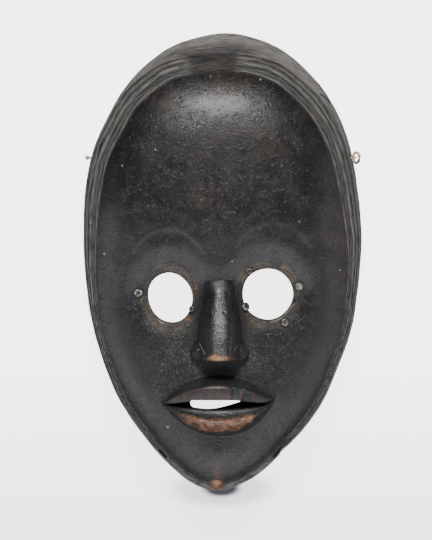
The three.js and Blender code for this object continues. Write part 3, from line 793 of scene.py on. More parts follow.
def cut_holes(piece):
    """Cuts the eyes, the mouth, the thin jaw cuts, the cord holes and the nail bores."""
    work = bmesh.new()
    add_prism(work, ellipse(LEFT_EYE, LEFT_EYE_SIZE, 0.3), 15, 80)
    add_prism(work, ellipse(RIGHT_EYE, RIGHT_EYE_SIZE, 0.0), 15, 80)
    add_prism(work, slit_outline(), 15, 80)
    for outer, inner in ((RIGHT_WALL, RIGHT_INNER), (LEFT_WALL, LEFT_INNER)):
        middle = ((outer + inner) / 2, CORD_LINE, CORD_HOLE_HEIGHT)
        add_rod(work, middle, (1, 0, 0), CORD_HOLE_DIAMETER / 2, abs(outer - inner) + 8)
    for cut in JAW_CUTS:
        start, end = (share_place(spot) for spot in cut)
        middle = (start + end) / 2
        along = Vector((end[0] - start[0], end[1] - start[1], 0)).normalized()
        point, _ = face_frame(middle)
        inward = Vector((FACE_CENTRE[0] - middle[0], FACE_CENTRE[1] - middle[1], 0)).normalized()
        sight = inward * 0.62 + Vector((0, 0, -1))
        sight = (sight - along * sight.dot(along)).normalized()
        across = sight.cross(along)
        turn = Matrix((along, across, sight)).transposed().to_4x4()
        size = Matrix.Diagonal((JAW_CUT_LENGTH * MM, JAW_CUT_WIDTH * MM, 2 * JAW_CUT_DEPTH * MM, 1))
        bmesh.ops.create_cube(work, size=1, matrix=Matrix.Translation(point * MM) @ turn @ size)
    holes = cutter_object("face_holes", work)
    work = bmesh.new()
    past = 4
    depth = NAIL_SHANK_LENGTH + CLEARANCE
    radius = NAIL_SHANK_DIAMETER / 2 + CLEARANCE
    for _, spot, eye, lean, _ in NAILS:
        point, _, out = nail_axis(spot, eye, lean)
        add_rod(work, point + out * ((past - depth) / 2), out, radius, depth + past)
    bores = cutter_object("nail_bores", work)
    for cutter in (holes, bores):
        cut = piece.modifiers.new(cutter.name, "BOOLEAN")
        cut.operation = "DIFFERENCE"
        cut.solver = "MANIFOLD"
        cut.object = cutter
    hold_result(piece, "carved_face")
    for cutter in (holes, bores):
        bpy.data.objects.remove(cutter)


def turn_faces_out(mesh):
    work = bmesh.new()
    work.from_mesh(mesh)
    bmesh.ops.recalc_face_normals(work, faces=work.faces)
    work.to_mesh(mesh)
    work.free()


def paint(mesh, name, channels):
    """Stores three masks, each between 0 and 1, as a colour on the points of a mesh."""
    colours = np.ones((len(mesh.vertices), 4))
    for i, channel in enumerate(channels):
        colours[:, i] = np.clip(channel, 0, 1)
    layer = mesh.color_attributes.new(name, "FLOAT_COLOR", "POINT")
    layer.data.foreach_set("color", colours.ravel())


class Surface:
    """The points of the carved mask in millimetres, and the measures that its paint masks share."""

    def __init__(self, mesh):
        points = np.empty(len(mesh.vertices) * 3)
        mesh.vertices.foreach_get("co", points)
        x, y, z = (points.reshape(-1, 3) / MM).T
        self.x, self.y, self.z = x, y, z
        dx, dy = x - FACE_CENTRE[0], y - FACE_CENTRE[1]
        self.turn = np.arctan2(dy, dx)
        self.reach = np.hypot(dx, dy)
        radius, flare = rim_at(self.turn)
        self.front = radius - flare
        self.edge = edge_height(y)
        self.base = face_height(x, y)
        self.band = (self.front - self.reach) / groove_zone(self.turn)
        self.strength = groove_strength(FACE_CENTRE[0] + dx / np.maximum(self.reach, 1e-6) * radius, y)
        outer_wall = radius - flare * np.clip(z / self.edge, 0, 1) ** 1.5
        side = (z < self.edge + 0.6) * smooth(self.reach, outer_wall - 2.5, outer_wall - 1.2)
        inner_side = (1 - smooth(z, self.base - 6.5, self.base - 3.0)) * (1 - side)
        self.hollow = np.maximum(inner_side, (z < 0.5) * smooth(outer_wall - self.reach, 0.6, 1.4))
        rolled = (y > 60) * (1 - smooth(np.abs(x + 5), 12, 46)) * smooth(z / self.edge, 0.3, 0.9)
        self.wall = side * (1 - 0.75 * rolled)

        self.across = (x - MOUTH_CENTRE[0]) / (MOUTH_WIDTH / 2)
        self.inside = np.clip(1 - self.across**2, 0, 1)
        held = np.clip(self.across, -1, 1)
        upper_reach = UPPER_LIP_REACH * np.clip(1 - np.abs(self.across) ** 2.6, 0.05, 1)
        lower_reach = LOWER_LIP_REACH * np.maximum(self.inside, 0.05)
        self.up = (y - slit_edge(held, True)) / upper_reach
        self.down = (slit_edge(held, False) - y) / lower_reach
        self.on_front = z > self.base - 1.0
        self.along = (NOSE_TOP - y) / NOSE_LENGTH
        self.ragged = 0.05 * grain(x / 2.6, y / 1.4, 4.0) + 0.04 * grain(x / 0.9, y / 0.9, 8.0)

    def away(self, x, y, wide, high):
        """Distance from a place on the front, in shares of a half width and a half height."""
        return np.hypot((self.x - x) / wide, (self.y - y) / high)

    def spots(self, places):
        """Soft spots: middle, half width, half height and strength of each."""
        return [share * bell(self.away(x, y, wide, high), 1.0) for x, y, wide, high, share in places]


def lower_lip_wear(at):
    down = at.down + at.ragged
    across = at.across + at.ragged
    worn = smooth(down, 0.36, 0.44) * (1 - smooth(down, 0.8, 0.9))
    worn = worn * smooth(across, -0.76, -0.5) * (1 - smooth(across, 0.54, 0.64))
    uneven = 0.28 * coarse_grain(at.x / 2.6, at.y / 1.6, 3.0) + 0.1 * grain(at.x / 0.9, at.y / 0.7, 2.0)
    return worn * (0.8 + uneven)


def nose_tip_wear(at):
    reach = at.away(FACE_AXIS - 0.6, -54.4, 7.4, 5.4)
    return (1 - smooth(reach + 1.2 * at.ragged, 0.86, 1.04)) * (at.z > at.base + 5.5)


def nose_wing_wear(at):
    reach = np.hypot((np.abs(at.x - FACE_AXIS) - 8.4) / 3.0, (at.y + 52.6) / 1.9)
    return (1 - smooth(reach + at.ragged, 0.6, 1.3)) * (at.z > at.base + 3)


def chin_wear(at):
    return (1 - smooth(at.away(-3.0, -119.2, 4.2, 2.9) + 2.2 * at.ragged, 0.7, 1.1)) * (at.z > 12)


def upper_lip_band(at):
    """The flat band of the upper lip, over the opening."""
    return (at.up > 0) * (1 - smooth(at.up, 0.5, 0.58)) * at.on_front * smooth(at.inside, 0.1, 0.4)


def lip_cut_wear(at):
    """Worn wood beside the cuts across the upper lip."""
    edges = 0.0
    for (place, _), pale in zip(LIP_CUTS, (0.0, 1.0, 0.8)):
        edges = edges + pale * bell(at.x - place - 0.08 * (at.y + 70) + 0.75, 0.42)
    return np.clip(edges, 0, 1) * upper_lip_band(at)


def eye_wear(at):
    worn = 0.0
    for x, y, wide, high, share in WORN_SPOTS:
        spot = at.away(x, y, wide, high)
        worn = np.maximum(worn, share * (1 - smooth(spot + 3 * at.ragged, 0.6, 1.1)) * at.on_front)
    return worn


def brown_wood(at):
    """Places where brown wood shows through the black a little."""
    chin_spot, *others = at.spots(BROWN_SPOTS)
    return np.maximum.reduce([
        0.42 * upper_lip_band(at) * (1 - smooth(at.x, 3.5, 6.0)),
        chin_spot * (at.z > 14),
        *others,
        0.22 * smooth(at.x, 50.0, 62.0) * bell(at.y - 12.0, 42.0) * (at.band > 0.3),
    ])


def eye_ring_masks(at):
    """The worn rings round the eyes, and a painted shade line along their outer edge."""
    ring = 0.0
    ring_edge_shade = 0.0
    patchy = smooth(coarse_grain(at.x / 7, at.y / 7, 6.0), -0.2, 0.5)
    for eye, size, lean, width in EYES:
        out = eye_distance(at.x, at.y, eye, size, lean) + 9 * at.ragged
        ring = np.maximum(ring, (1 - smooth(out, width - 1.6, width + 1.4)) * (at.z > at.base - 4))
        # Painted shade along the rings' outer edge.
        ring_edge_shade = np.maximum(ring_edge_shade, bell(out - width, 0.5) * patchy)
    return ring * (at.z < at.base + 1.5), ring_edge_shade


def dust_mask(at):
    return sum(at.spots(DUST_SPOTS)) * (at.z < at.base + 2.5)


def nose_masks(at, tip_wear):
    """Painted shade along the foot of the nose, its wings darkened, and a painted highlight in an arc on
    the right wing.
    """
    beside = np.abs(at.x - FACE_AXIS) - NOSE_HALF_WIDTH * (0.62 + 0.32 * smooth(at.along, 0, 0.7))
    # Painted shade along the foot of the nose.
    foot_shade = bell(beside - 0.8, np.where(beside < 0.8, 1.9, 4.2))
    foot_shade = foot_shade * smooth(at.along, -0.02, 0.1) * (1 - smooth(at.along, 0.95, 1.05))
    wing_x = np.abs(at.x - FACE_AXIS) - NOSE_HALF_WIDTH + 0.15 * NOSTRIL_RADIUS
    wing_y = at.y - NOSE_TOP + NOSE_LENGTH - 1.1 * NOSTRIL_RADIUS
    wing_round = np.hypot(wing_x, wing_y / 1.15) / NOSTRIL_RADIUS
    # Painted highlight: an arc on the right wing.
    arc = bell(wing_round - 0.84, 0.1) * smooth(wing_y, -0.5, 1.5) * (at.x > FACE_AXIS)
    wings = (1 - smooth(wing_round, 0.95, 1.15)) * (1 - tip_wear) * (1 - arc)
    return foot_shade, wings, arc


def nail_seat_shadows(at):
    # Painted shadow round each nail's head.
    seats = 0.0
    for _, spot, _, _, head in NAILS:
        x, y = share_place(spot)
        seats = np.maximum(seats, bell(at.away(x, y, 1.0, 1.0) - 0.5 * head - 0.3, 0.6))
    return seats


def mouth_shade(at):
    """Painted shade round the lips, each with its strength."""
    crossing = np.abs(at.across) < 1
    band = upper_lip_band(at)
    return [
        0.5 * bell(np.abs(at.down - 1.04), 0.1) * at.inside * crossing,
        1.0 * (at.up < 0.02) * (at.down < 0.06) * crossing,
        0.3 * bell(np.abs(at.up - 1.0), 0.12) * crossing,
        0.7 * band * smooth(at.x, 11.2, 11.8) * (1 - smooth(at.x, 16.0, 16.6)),
        0.3 * band,
    ]


def ridge_mask(at, wing_arc_highlight):
    """Rubbed ridges between the grooves and over the brows, a rubbed band along the left jaw lightened as a
    painted reflection, and a painted highlight in an arc on the right wing.
    """
    ridges = bell(at.band - 0.21, 0.045) + bell(at.band - 0.46, 0.05) + 1.1 * bell(at.band - 0.94, 0.04)
    ridges = ridges * (0.35 + 0.65 * at.strength) * smooth(at.strength, 0.02, 0.3)
    for centre, size in BROWS:
        upper = smooth(np.sin(np.arctan2(at.y - centre[1], at.x - centre[0])), 0.2, 0.6)
        ridges = np.maximum(ridges, 0.18 * bell(at.away(*centre, 1.0, 1.0) - size, 0.55) * upper)
    # Painted highlight: the arc on the right wing.
    ridges = np.maximum(ridges, 0.8 * wing_arc_highlight)
    # Painted reflection over rubbed ridges: a lighter band along the left jaw.
    left_jaw_sheen = smooth(-at.y, 48, 72) * (at.x < 0) * (at.z > 18)
    return np.maximum(ridges, 0.75 * bell(at.band - 0.35, 0.45) * left_jaw_sheen)


def worn_edge_and_sheen(at):
    """Bare grey wood in the band of grooves, and bare wood along the chin's edge lightened as a painted
    reflection.
    """
    # Painted reflection: the chin's edge is a lighter grey, over bare wood.
    chin = bell(at.band - 0.2, 0.6) * smooth(-at.y, 98, 108)
    band = smooth(at.band, -0.2, 0.1) * (1 - smooth(at.band, 0.8, 1.1))
    return np.maximum(chin, band * (0.25 + 0.75 * smooth(at.strength, 0.1, 0.9)))


def pale_masks(at, lower_lip, tip_wear, chin):
    """The palest worn wood, a painted highlight along the crest of the upper lip, and a painted highlight
    on the top of the nose.
    """
    tan = np.maximum.reduce([
        bell(at.away(FACE_AXIS - 0.6, -53.0, 5.6, 2.6), 1.0) * tip_wear,
        0.8 * bell(at.away(-3.4, -118.4, 2.4, 1.6), 1.0) * chin,
        0.7 * bell(at.away(14.6, -83.4, 3.0, 1.6), 1.0) * lower_lip,
    ])
    # Painted highlight along the crest of the upper lip.
    lip_crest_highlight = bell(at.up - 0.53, 0.035) * smooth(at.x, -10.0, -7.0) * (1 - smooth(at.x, 0.0, 2.5))
    # Painted highlight on the top of the nose.
    nose_top_highlight = smooth(at.along, -0.01, 0.01) * (1 - smooth(at.along, 0.07, 0.13))
    return tan, lip_crest_highlight, nose_top_highlight * bell(at.x - FACE_AXIS + 0.2, 3.2)


def paint_mask(mesh):
    """Stores where the wood is worn, brown, rough, dusty or hollow, and where shade, highlights and
    reflections are painted.
    """
    at = Surface(mesh)
    lower_lip, tip_wear, chin = lower_lip_wear(at), nose_tip_wear(at), chin_wear(at)
    worn = np.maximum.reduce([
        lower_lip * at.on_front,
        tip_wear,
        0.4 * nose_wing_wear(at),
        chin,
        0.7 * lip_cut_wear(at),
        eye_wear(at),
    ])
    ring, ring_edge_shade = eye_ring_masks(at)
    foot_shade, wings, wing_arc_highlight = nose_masks(at, tip_wear)
    groove = np.clip(read_curve(GROOVES, at.band) / 1.2, 0, 1) * at.strength * (at.band > 0) * (at.band < 1)
    # Painted shade in the grooves (over their grime), beside the nose, round the nails, under the nose,
    # round the lips and along the eye rings; the nose wings are darkened too.
    crease = np.maximum.reduce([
        groove,
        0.95 * foot_shade,
        0.95 * wings,
        0.8 * nail_seat_shadows(at),
        # Painted shadow under the nose.
        bell(at.away(FACE_AXIS, -58.0, 13.0, 4.2), 1.0) * (at.z < at.base + 8),
        *mouth_shade(at),
        0.6 * ring_edge_shade,
    ])
    inward = at.front - at.reach - np.where(at.wall > 0.5, at.edge - np.minimum(at.z, at.edge), 0.0)
    paint(mesh, "wear", (worn, brown_wood(at), ring))
    paint(mesh, "place", (at.wall, at.hollow, crease))
    paint(mesh, "pale", pale_masks(at, lower_lip, tip_wear, chin))
    paint(mesh, "round", (0.5 + 0.5 * np.cos(at.turn), 0.5 + 0.5 * np.sin(at.turn), 0.6 + inward / 100))
    paint(mesh, "edges", (dust_mask(at), ridge_mask(at, wing_arc_highlight), worn_edge_and_sheen(at)))


class Level:
    """A number on a shader's socket. Operators on it add Math nodes."""

    def __init__(self, shader, socket):
        self.shader = shader
        self.socket = socket

    def combine(self, operation, first, second):
        node = self.shader.add("ShaderNodeMath", {"operation": operation}, {0: first, 1: second})
        return Level(self.shader, node.outputs[0])

    def __add__(self, other):
        return self.combine("ADD", self, other)

    def __radd__(self, other):
        return self.combine("ADD", other, self)

    def __sub__(self, other):
        return self.combine("SUBTRACT", self, other)

    def __rsub__(self, other):
        return self.combine("SUBTRACT", other, self)

    def __mul__(self, other):
        return self.combine("MULTIPLY", self, other)

    def __rmul__(self, other):
        return self.combine("MULTIPLY", other, self)

    def __truediv__(self, other):
        return self.combine("DIVIDE", self, other)

    def __pow__(self, other):
        return self.combine("POWER", self, other)

    def largest(self, other):
        return self.combine("MAXIMUM", self, other)

    def least(self, other):
        return self.combine("MINIMUM", self, other)

    def spread(self, low, high, to_low=0.0, to_high=1.0):
        """A smooth step from one range to another, held at its ends."""
        values = {"Value": self, "From Min": low, "From Max": high, "To Min": to_low, "To Max": to_high}
        node = self.shader.add("ShaderNodeMapRange", {"interpolation_type": "SMOOTHSTEP"}, values)
        return Level(self.shader, node.outputs[0])


class Shader:
    """A material's node tree with one Principled shader."""

    def __init__(self, name):
        self.material = bpy.data.materials.new(name)
        self.material.use_nodes = True
        self.tree = self.material.node_tree
        self.tree.nodes.clear()
        self.surface = self.add("ShaderNodeBsdfPrincipled")
        output = self.add("ShaderNodeOutputMaterial", {}, {"Surface": self.surface.outputs[0]})
        output.is_active_output = True
        self.place = self.add("ShaderNodeTexCoord").outputs["Object"]

    @cached_property
    def flat(self):
        """Places without their height."""
        return self.vector("MULTIPLY", {0: self.place, 1: (1.0, 1.0, 0.0)})

    def set_socket(self, socket, value):
        if isinstance(value, Level):
            self.tree.links.new(value.socket, socket)
        elif isinstance(value, bpy.types.NodeSocket):
            self.tree.links.new(value, socket)
        else:
            socket.default_value = value

    def add(self, kind, settings=None, inputs=None):
        """Any node: its settings first, then the values or links of its sockets."""
        node = self.tree.nodes.new(kind)
        for key, value in (settings or {}).items():
            setattr(node, key, value)
        for key, value in (inputs or {}).items():
            self.set_socket(node.inputs[key], value)
        return node

    def finish(self, **inputs):
        for key, value in inputs.items():
            self.set_socket(self.surface.inputs[key.replace("_", " ")], value)
        return self.material

    def vector(self, operation, inputs):
        """Vector Math that gives a vector."""
        return self.add("ShaderNodeVectorMath", {"operation": operation}, inputs).outputs[0]

    def measure(self, operation, inputs):
        """Vector Math that gives a number."""
        node = self.add("ShaderNodeVectorMath", {"operation": operation}, inputs)
        return Level(self, node.outputs["Value"])

    def parts(self, vector):
        """The three numbers of a vector."""
        node = self.add("ShaderNodeSeparateXYZ", {}, {0: vector})
        return [Level(self, socket) for socket in node.outputs]

    def gather(self, x, y, z):
        """A vector of three numbers."""
        return self.add("ShaderNodeCombineXYZ", {}, {0: x, 1: y, 2: z}).outputs[0]

    def stretched(self, scale, turn=(0.0, 0.0, 0.0)):
        values = {"Vector": self.place, "Scale": scale, "Rotation": turn}
        return self.add("ShaderNodeMapping", {}, values).outputs[0]

    def noise(self, scale, detail=4.0, rough=0.55, bend=0.0, place=None):
        values = {
            "Vector": place or self.place,
            "Scale": scale,
            "Detail": detail,
            "Roughness": rough,
            "Distortion": bend,
        }
        return Level(self, self.add("ShaderNodeTexNoise", {}, values).outputs["Fac"])

    def cells(self, scale):
        """Distance to the nearest of many scattered points."""
        node = self.add("ShaderNodeTexVoronoi", {}, {"Vector": self.place, "Scale": scale})
        return Level(self, node.outputs["Distance"])

    def painted(self, name):
        """A colour stored on the mesh's points."""
        return self.add("ShaderNodeVertexColor", {"layer_name": name}).outputs["Color"]

    def masks(self, name):
        node = self.add("ShaderNodeSeparateColor", {}, {"Color": self.painted(name)})
        return [Level(self, socket) for socket in node.outputs]

    def blend(self, share, first, second):
        """A mix of two colours, each a socket or three numbers."""
        first, second = ((*c, 1.0) if isinstance(c, tuple) else c for c in (first, second))
        values = {"Factor": share, 6: first, 7: second}
        return self.add("ShaderNodeMix", {"data_type": "RGBA"}, values).outputs[2]

    def away_from(self, x, y):
        """Distance from a place on the front, in metres."""
        return self.measure("DISTANCE", {0: self.flat, 1: (x * MM, y * MM, 0.0)})

    def speck(self, x, y, size):
        """A round spot at a place on the front, in millimetres."""
        return self.away_from(x, y).spread(0.5 * size * MM, size * MM, 1.0, 0.0)

    def line(self, start, end, width):
        """A thin straight line between two places on the front, in millimetres."""
        sx, sy = start
        dx, dy = end[0] - sx, end[1] - sy
        x, y, _ = self.parts(self.place)
        x = x * (1 / MM)
        y = y * (1 / MM)
        share = (((x - sx) * dx + (y - sy) * dy) / (dx * dx + dy * dy)).least(1.0).largest(0.0)
        off_x = x - sx - share * dx
        off_y = y - sy - share * dy
        return ((off_x * off_x + off_y * off_y) ** 0.5).spread(0.4 * width, width, 1.0, 0.0)

    def bump(self, height, distance, strength=1.0, below=None):
        values = {"Height": height, "Distance": distance, "Strength": strength}
        if below is not None:
            values["Normal"] = below
        return self.add("ShaderNodeBump", {}, values).outputs[0]


# Soft spots on the front in millimetres: middle, half width, half height, strength. First come
# small worn places round the eyes, then brown showing through, from the chin up, then dust.
WORN_SPOTS = [
    (-18.5, -30.6, 1.7, 1.2, 0.8),
    (-14.3, -13.6, 0.8, 4.2, 0.45),
    (32.4, -2.0, 1.4, 1.1, 0.6),
]
BROWN_SPOTS = [
    (-2.0, -113.5, 2.4, 5.0, 0.9),
    (-16.3, -100.7, 5.0, 3.2, 0.3),
    (-33.2, 86.0, 7.0, 5.5, 0.3),
    (25.7, 62.0, 9.0, 7.0, 0.35),
    (-6.2, 34.7, 9.0, 7.0, 0.25),
]
DUST_SPOTS = [
    (-20.0, -54.0, 9.0, 16.0, 1.0),
    (17.0, -52.0, 8.0, 15.0, 0.8),
    (-33.0, -60.0, 9.0, 12.0, 0.5),
    (-20.0, -35.3, 3.0, 2.2, 1.3),
]

# Pale specks: place and size.
SPECKS = [
    (-70.4, 21.0, 0.7),
    (-35.8, 59.8, 0.6),
    (-2.0, 92.5, 0.5),
    (40.9, 21.5, 0.5),
    (62.8, -4.4, 0.6),
    (5.1, 0.2, 0.5),
    (-29.3, -88.1, 0.8),
    (-63.1, 4.2, 0.7),
    (20.2, 97.2, 0.7),
    (-53.5, 51.2, 0.6),
]

# Fine lines on the front: start, end, width in millimetres.
PALE_LINES = [
    ((33.4, -28.0), (38.4, -22.3), 0.35),
    ((-12.3, -43.5), (-9.4, -49.4), 0.3),
    ((0.4, -25.8), (1.6, -26.9), 0.35),
]
# Painted shade in the two thin cuts by the jaw.
JAW_CUT_SHADE_LINES = [
    ((-33.7, -100.4), (-30.1, -104.4), 0.8),
    ((31.5, -99.4), (27.7, -104.2), 1.2),
]
DARK_LINES = [
    ((52.2, 89.9), (54.6, 88.0), 0.5),
    ((54.6, 88.0), (57.4, 85.0), 0.45),
    ((1.0, -27.2), (4.6, -31.4), 0.6),
    ((-32.2, -1.2), (-26.5, 0.0), 0.4),
]


# Colours of the wood. A pair is the dark and the light that a grain runs between.
BLACK = ((0.0115, 0.0118, 0.0124), (0.0195, 0.0196, 0.0204))
BROWN_TINGE = (0.039, 0.0275, 0.021)
# Painted light on the cheeks and painted shade on the temples.
CHEEK_LIGHT_GREY = (0.031, 0.0312, 0.033)
TEMPLE_SHADE_BLACK = (0.0065, 0.006, 0.0058)
REDDISH = ((0.05, 0.023, 0.016), (0.14, 0.062, 0.042))
RING_BROWN = ((0.014, 0.0115, 0.0098), (0.135, 0.104, 0.076))
# Bare grey wood, and a painted reflection along the chin's edge.
EDGE_GREY_AND_SHEEN = ((0.024, 0.0235, 0.023), (0.34, 0.328, 0.315))
# Rubbed ridges, with a painted reflection along the left jaw and a painted highlight on the right wing.
RIDGE_GREY = (0.18, 0.17, 0.156)
WORN_BROWN = ((0.15, 0.062, 0.032), (0.39, 0.2, 0.108))
PORE_BROWN = (0.1, 0.042, 0.025)
BLOTCH_BROWN = (0.06, 0.03, 0.021)
PALE_TAN = (0.58, 0.32, 0.17)
# Painted highlights along the upper lip's crest and on the top of the nose.
CREST_HIGHLIGHT_TAN = (0.3, 0.25, 0.21)
NOSE_HIGHLIGHT_GREY = (0.21, 0.21, 0.205)
WALL_GREY = ((0.13, 0.122, 0.116), (0.56, 0.535, 0.512))
WALL_DARK = (0.06, 0.055, 0.051)
BACK_BROWN = ((0.085, 0.052, 0.033), (0.21, 0.135, 0.085))
BACK_DARK = (0.035, 0.026, 0.021)
# Painted shade in grooves, corners and creases, and dark cracks.
SHADE_AND_CRACK_BLACK = (0.006, 0.006, 0.006)
DUST_GREY = (0.15, 0.14, 0.112)
DOT_GREY = (0.2, 0.185, 0.16)
SPECK_CREAM = (0.42, 0.4, 0.355)


def patina_masks(shader):
    """The masks that are painted on the points of the carved mask."""
    names = "worn brown ring wall hollow crease dust ridges edge tan crest cap".split()
    levels = [level for layer in ("wear", "place", "edges", "pale") for level in shader.masks(layer)]
    return SimpleNamespace(**dict(zip(names, levels)))


def patina_grains(shader):
    """The grains of the wood and of its patina."""
    wood = SimpleNamespace()
    wood.broad = shader.noise(34.0, 5.0, 0.6, 0.4)
    wood.mottle = shader.noise(120.0, 4.0, 0.58, 0.3)
    wood.fine = shader.noise(850.0, 5.0, 0.62)
    wood.grit = shader.noise(1500.0, 3.0, 0.6)
    wood.pores = shader.noise(1.0, 3.0, 0.6, 0.2, shader.stretched((2600.0, 260.0, 2600.0)))
    lengthwise = shader.stretched((420.0, 60.0, 420.0), (0.0, 0.0, 0.12))
    wood.streaks = shader.noise(1.0, 5.0, 0.6, 0.5, lengthwise)
    around = shader.vector("MULTIPLY", {0: shader.painted("round"), 1: (36.0, 36.0, 110.0)})
    blade = shader.noise(1.0, 5.0, 0.66, 0.3, around)
    hairs = shader.noise(1.0, 3.0, 0.6, 0.2, shader.vector("SCALE", {0: around, 3: 2.9}))
    wood.strokes = (0.65 * blade + 0.35 * hairs).spread(0.36, 0.64)
    from_eye = shader.away_from(*LEFT_EYE).least(shader.away_from(*RIGHT_EYE))
    round_eyes = shader.gather(from_eye * 1900.0, wood.broad * 9.0, wood.mottle * 2.0)
    wood.scrapes = shader.noise(1.0, 3.0, 0.6, 0.3, round_eyes)
    wood.dents = shader.noise(430.0, 2.0, 0.5, 0.3).spread(0.56, 0.7)
    wood.pits = shader.cells(640.0).spread(0.1, 0.32, 1.0, 0.0) * wood.mottle.spread(0.42, 0.6)
    return wood


def black_front(shader, wood):
    """Black, with a brown tinge on the forehead, painted light that greys the cheeks and painted shade that
    deepens the temples.
    """
    across, up, _ = shader.parts(shader.place)
    forehead = up.spread(0.015, 0.06)
    black = shader.blend(wood.mottle.spread(0.4, 0.6), *BLACK)
    tinge = wood.broad.spread(0.46, 0.64) * wood.fine.spread(0.4, 0.58) * (0.12 + 0.6 * forehead)
    black = shader.blend(tinge, black, BROWN_TINGE)
    # Painted light: a lighter grey over the cheeks and round the mouth.
    cheek_light = up.spread(-0.05, -0.02, 1.0, 0.0) * up.spread(-0.096, -0.072)
    black = shader.blend(cheek_light * 0.66, black, CHEEK_LIGHT_GREY)
    # Painted shade: the sides of the forehead are darker.
    temple_shade = (across * across).spread(0.0007, 0.003) * forehead
    return shader.blend(temple_shade * 0.6, black, TEMPLE_SHADE_BLACK)


def rubbed_front(shader, mask, wood, colour):
    """Brown wood that shows through, the rings round the eyes, the bare edge and its ridges, with painted
    reflection along the chin's edge and the left jaw and a painted highlight on the right wing.
    """
    reddish = shader.blend(wood.streaks.spread(0.35, 0.7), *REDDISH)
    showing = (mask.brown * (wood.mottle.spread(0.34, 0.62) * 0.9 + 0.15)).least(1.0)
    colour = shader.blend(showing, colour, reddish)
    ring_mix = (0.3 * wood.fine + 0.3 * wood.grit + 0.4 * wood.scrapes).spread(0.43, 0.58)
    ring_share = mask.ring * (wood.mottle.spread(0.36, 0.6) * 0.75 + 0.2)
    colour = shader.blend(ring_share, colour, shader.blend(ring_mix, *RING_BROWN))
    colour = shader.blend(mask.edge * 0.9, colour, shader.blend(wood.strokes, *EDGE_GREY_AND_SHEEN))
    return shader.blend((mask.ridges * wood.strokes).least(1.0) * 0.8, colour, RIDGE_GREY)


def worn_front(shader, mask, wood, colour):
    """Bare wood on the lips, the tip of the nose and the chin, with painted highlights along the upper
    lip's crest and on the top of the nose.
    """
    raw = shader.blend(wood.streaks.spread(0.3, 0.7), *WORN_BROWN)
    raw = shader.blend(wood.pores.spread(0.5, 0.68) * 0.5, raw, PORE_BROWN)
    blotches = shader.noise(210.0, 4.0, 0.6, 0.4)
    raw = shader.blend(blotches.spread(0.47, 0.6) * 0.85, raw, BLOTCH_BROWN)
    raw = shader.blend(mask.tan * (0.35 + 0.65 * wood.mottle.spread(0.3, 0.6)), raw, PALE_TAN)
    colour = shader.blend((mask.worn * (1 - mask.hollow) * 1.15).least(1.0), colour, raw)
    # Painted highlights along the upper lip's crest and on the top of the nose.
    colour = shader.blend(mask.crest * (0.3 + 0.6 * wood.fine), colour, CREST_HIGHLIGHT_TAN)
    return shader.blend(mask.cap * (0.5 + 0.45 * wood.mottle.spread(0.3, 0.7)), colour, NOSE_HIGHLIGHT_GREY)


def wall_and_hollow(shader, mask, wood, colour):
    """The rough grey wall, the brown hollow, and painted shade in grooves, corners and creases."""
    rough_wood = shader.blend(wood.strokes, *WALL_GREY)
    rough_wood = shader.blend(wood.mottle.spread(0.5, 0.7) * 0.4, rough_wood, WALL_DARK)
    colour = shader.blend(mask.wall, colour, rough_wood)
    back_wood = shader.blend(wood.streaks.spread(0.3, 0.7), *BACK_BROWN)
    back_wood = shader.blend(wood.broad.spread(0.4, 0.7) * 0.75, back_wood, BACK_DARK)
    colour = shader.blend(mask.hollow, colour, back_wood)
    # Painted shade in grooves, corners and creases.
    return shader.blend(mask.crease * (1 - mask.hollow) * 0.8, colour, SHADE_AND_CRACK_BLACK)


def fine_marks(shader, mask, wood):
    """Dust, pale dots and specks, fine dark lines, and painted shade in the thin cuts by the jaw. The jaw's
    lines end where the wall begins.
    """
    marks = SimpleNamespace()
    gritty = (0.5 * wood.fine + 0.5 * wood.grit).spread(0.52, 0.6)
    marks.dusty = mask.dust * gritty * (0.35 + 0.65 * wood.mottle.spread(0.42, 0.6))
    scattered = shader.cells(430.0).spread(0.08, 0.22, 1.0, 0.0)
    marks.dots = scattered * wood.mottle.spread(0.48, 0.66) * (1 - mask.wall) * (1 - mask.hollow)
    marks.specks = shader.speck(*SPECKS[0])
    for x, y, size in SPECKS[1:]:
        marks.specks = marks.specks.largest(shader.speck(x, y, size))
    for start, end, width in PALE_LINES:
        marks.specks = marks.specks.largest(0.6 * shader.line(start, end, width))
    _, _, height = shader.parts(shader.place)
    # Painted shade in the thin cuts by the jaw.
    jaw_cut_shade = shader.line(*JAW_CUT_SHADE_LINES[0]).largest(shader.line(*JAW_CUT_SHADE_LINES[1]))
    marks.cracks = jaw_cut_shade * height.spread(0.0195, 0.0218)
    for start, end, width in DARK_LINES:
        marks.cracks = marks.cracks.largest(shader.line(start, end, width))
    return marks


def marked_front(shader, mask, marks, colour):
    front = 1 - mask.hollow
    colour = shader.blend(marks.dusty.least(1.0) * front * 0.8, colour, DUST_GREY)
    colour = shader.blend(marks.dots * 0.4, colour, DOT_GREY)
    colour = shader.blend((marks.specks * 0.75 * front).least(1.0), colour, SPECK_CREAM)
    # Dark cracks, and painted shade in the jaw's cuts.
    return shader.blend(marks.cracks * front * 0.85, colour, SHADE_AND_CRACK_BLACK)


def patina_roughness(mask, wood, marks):
    gloss = 0.235 + 0.03 * wood.mottle.spread(0.3, 0.7) + 0.04 * wood.broad.spread(0.3, 0.8)
    gloss = gloss + 0.1 * wood.grit.spread(0.42, 0.6) + 0.08 * wood.dents
    gloss = gloss + 0.42 * mask.wall + 0.4 * mask.hollow + 0.2 * mask.ring - 0.05 * mask.worn
    gloss = gloss + 0.45 * mask.crease + 0.2 * marks.dusty + 0.14 * mask.edge
    return gloss.least(0.95)


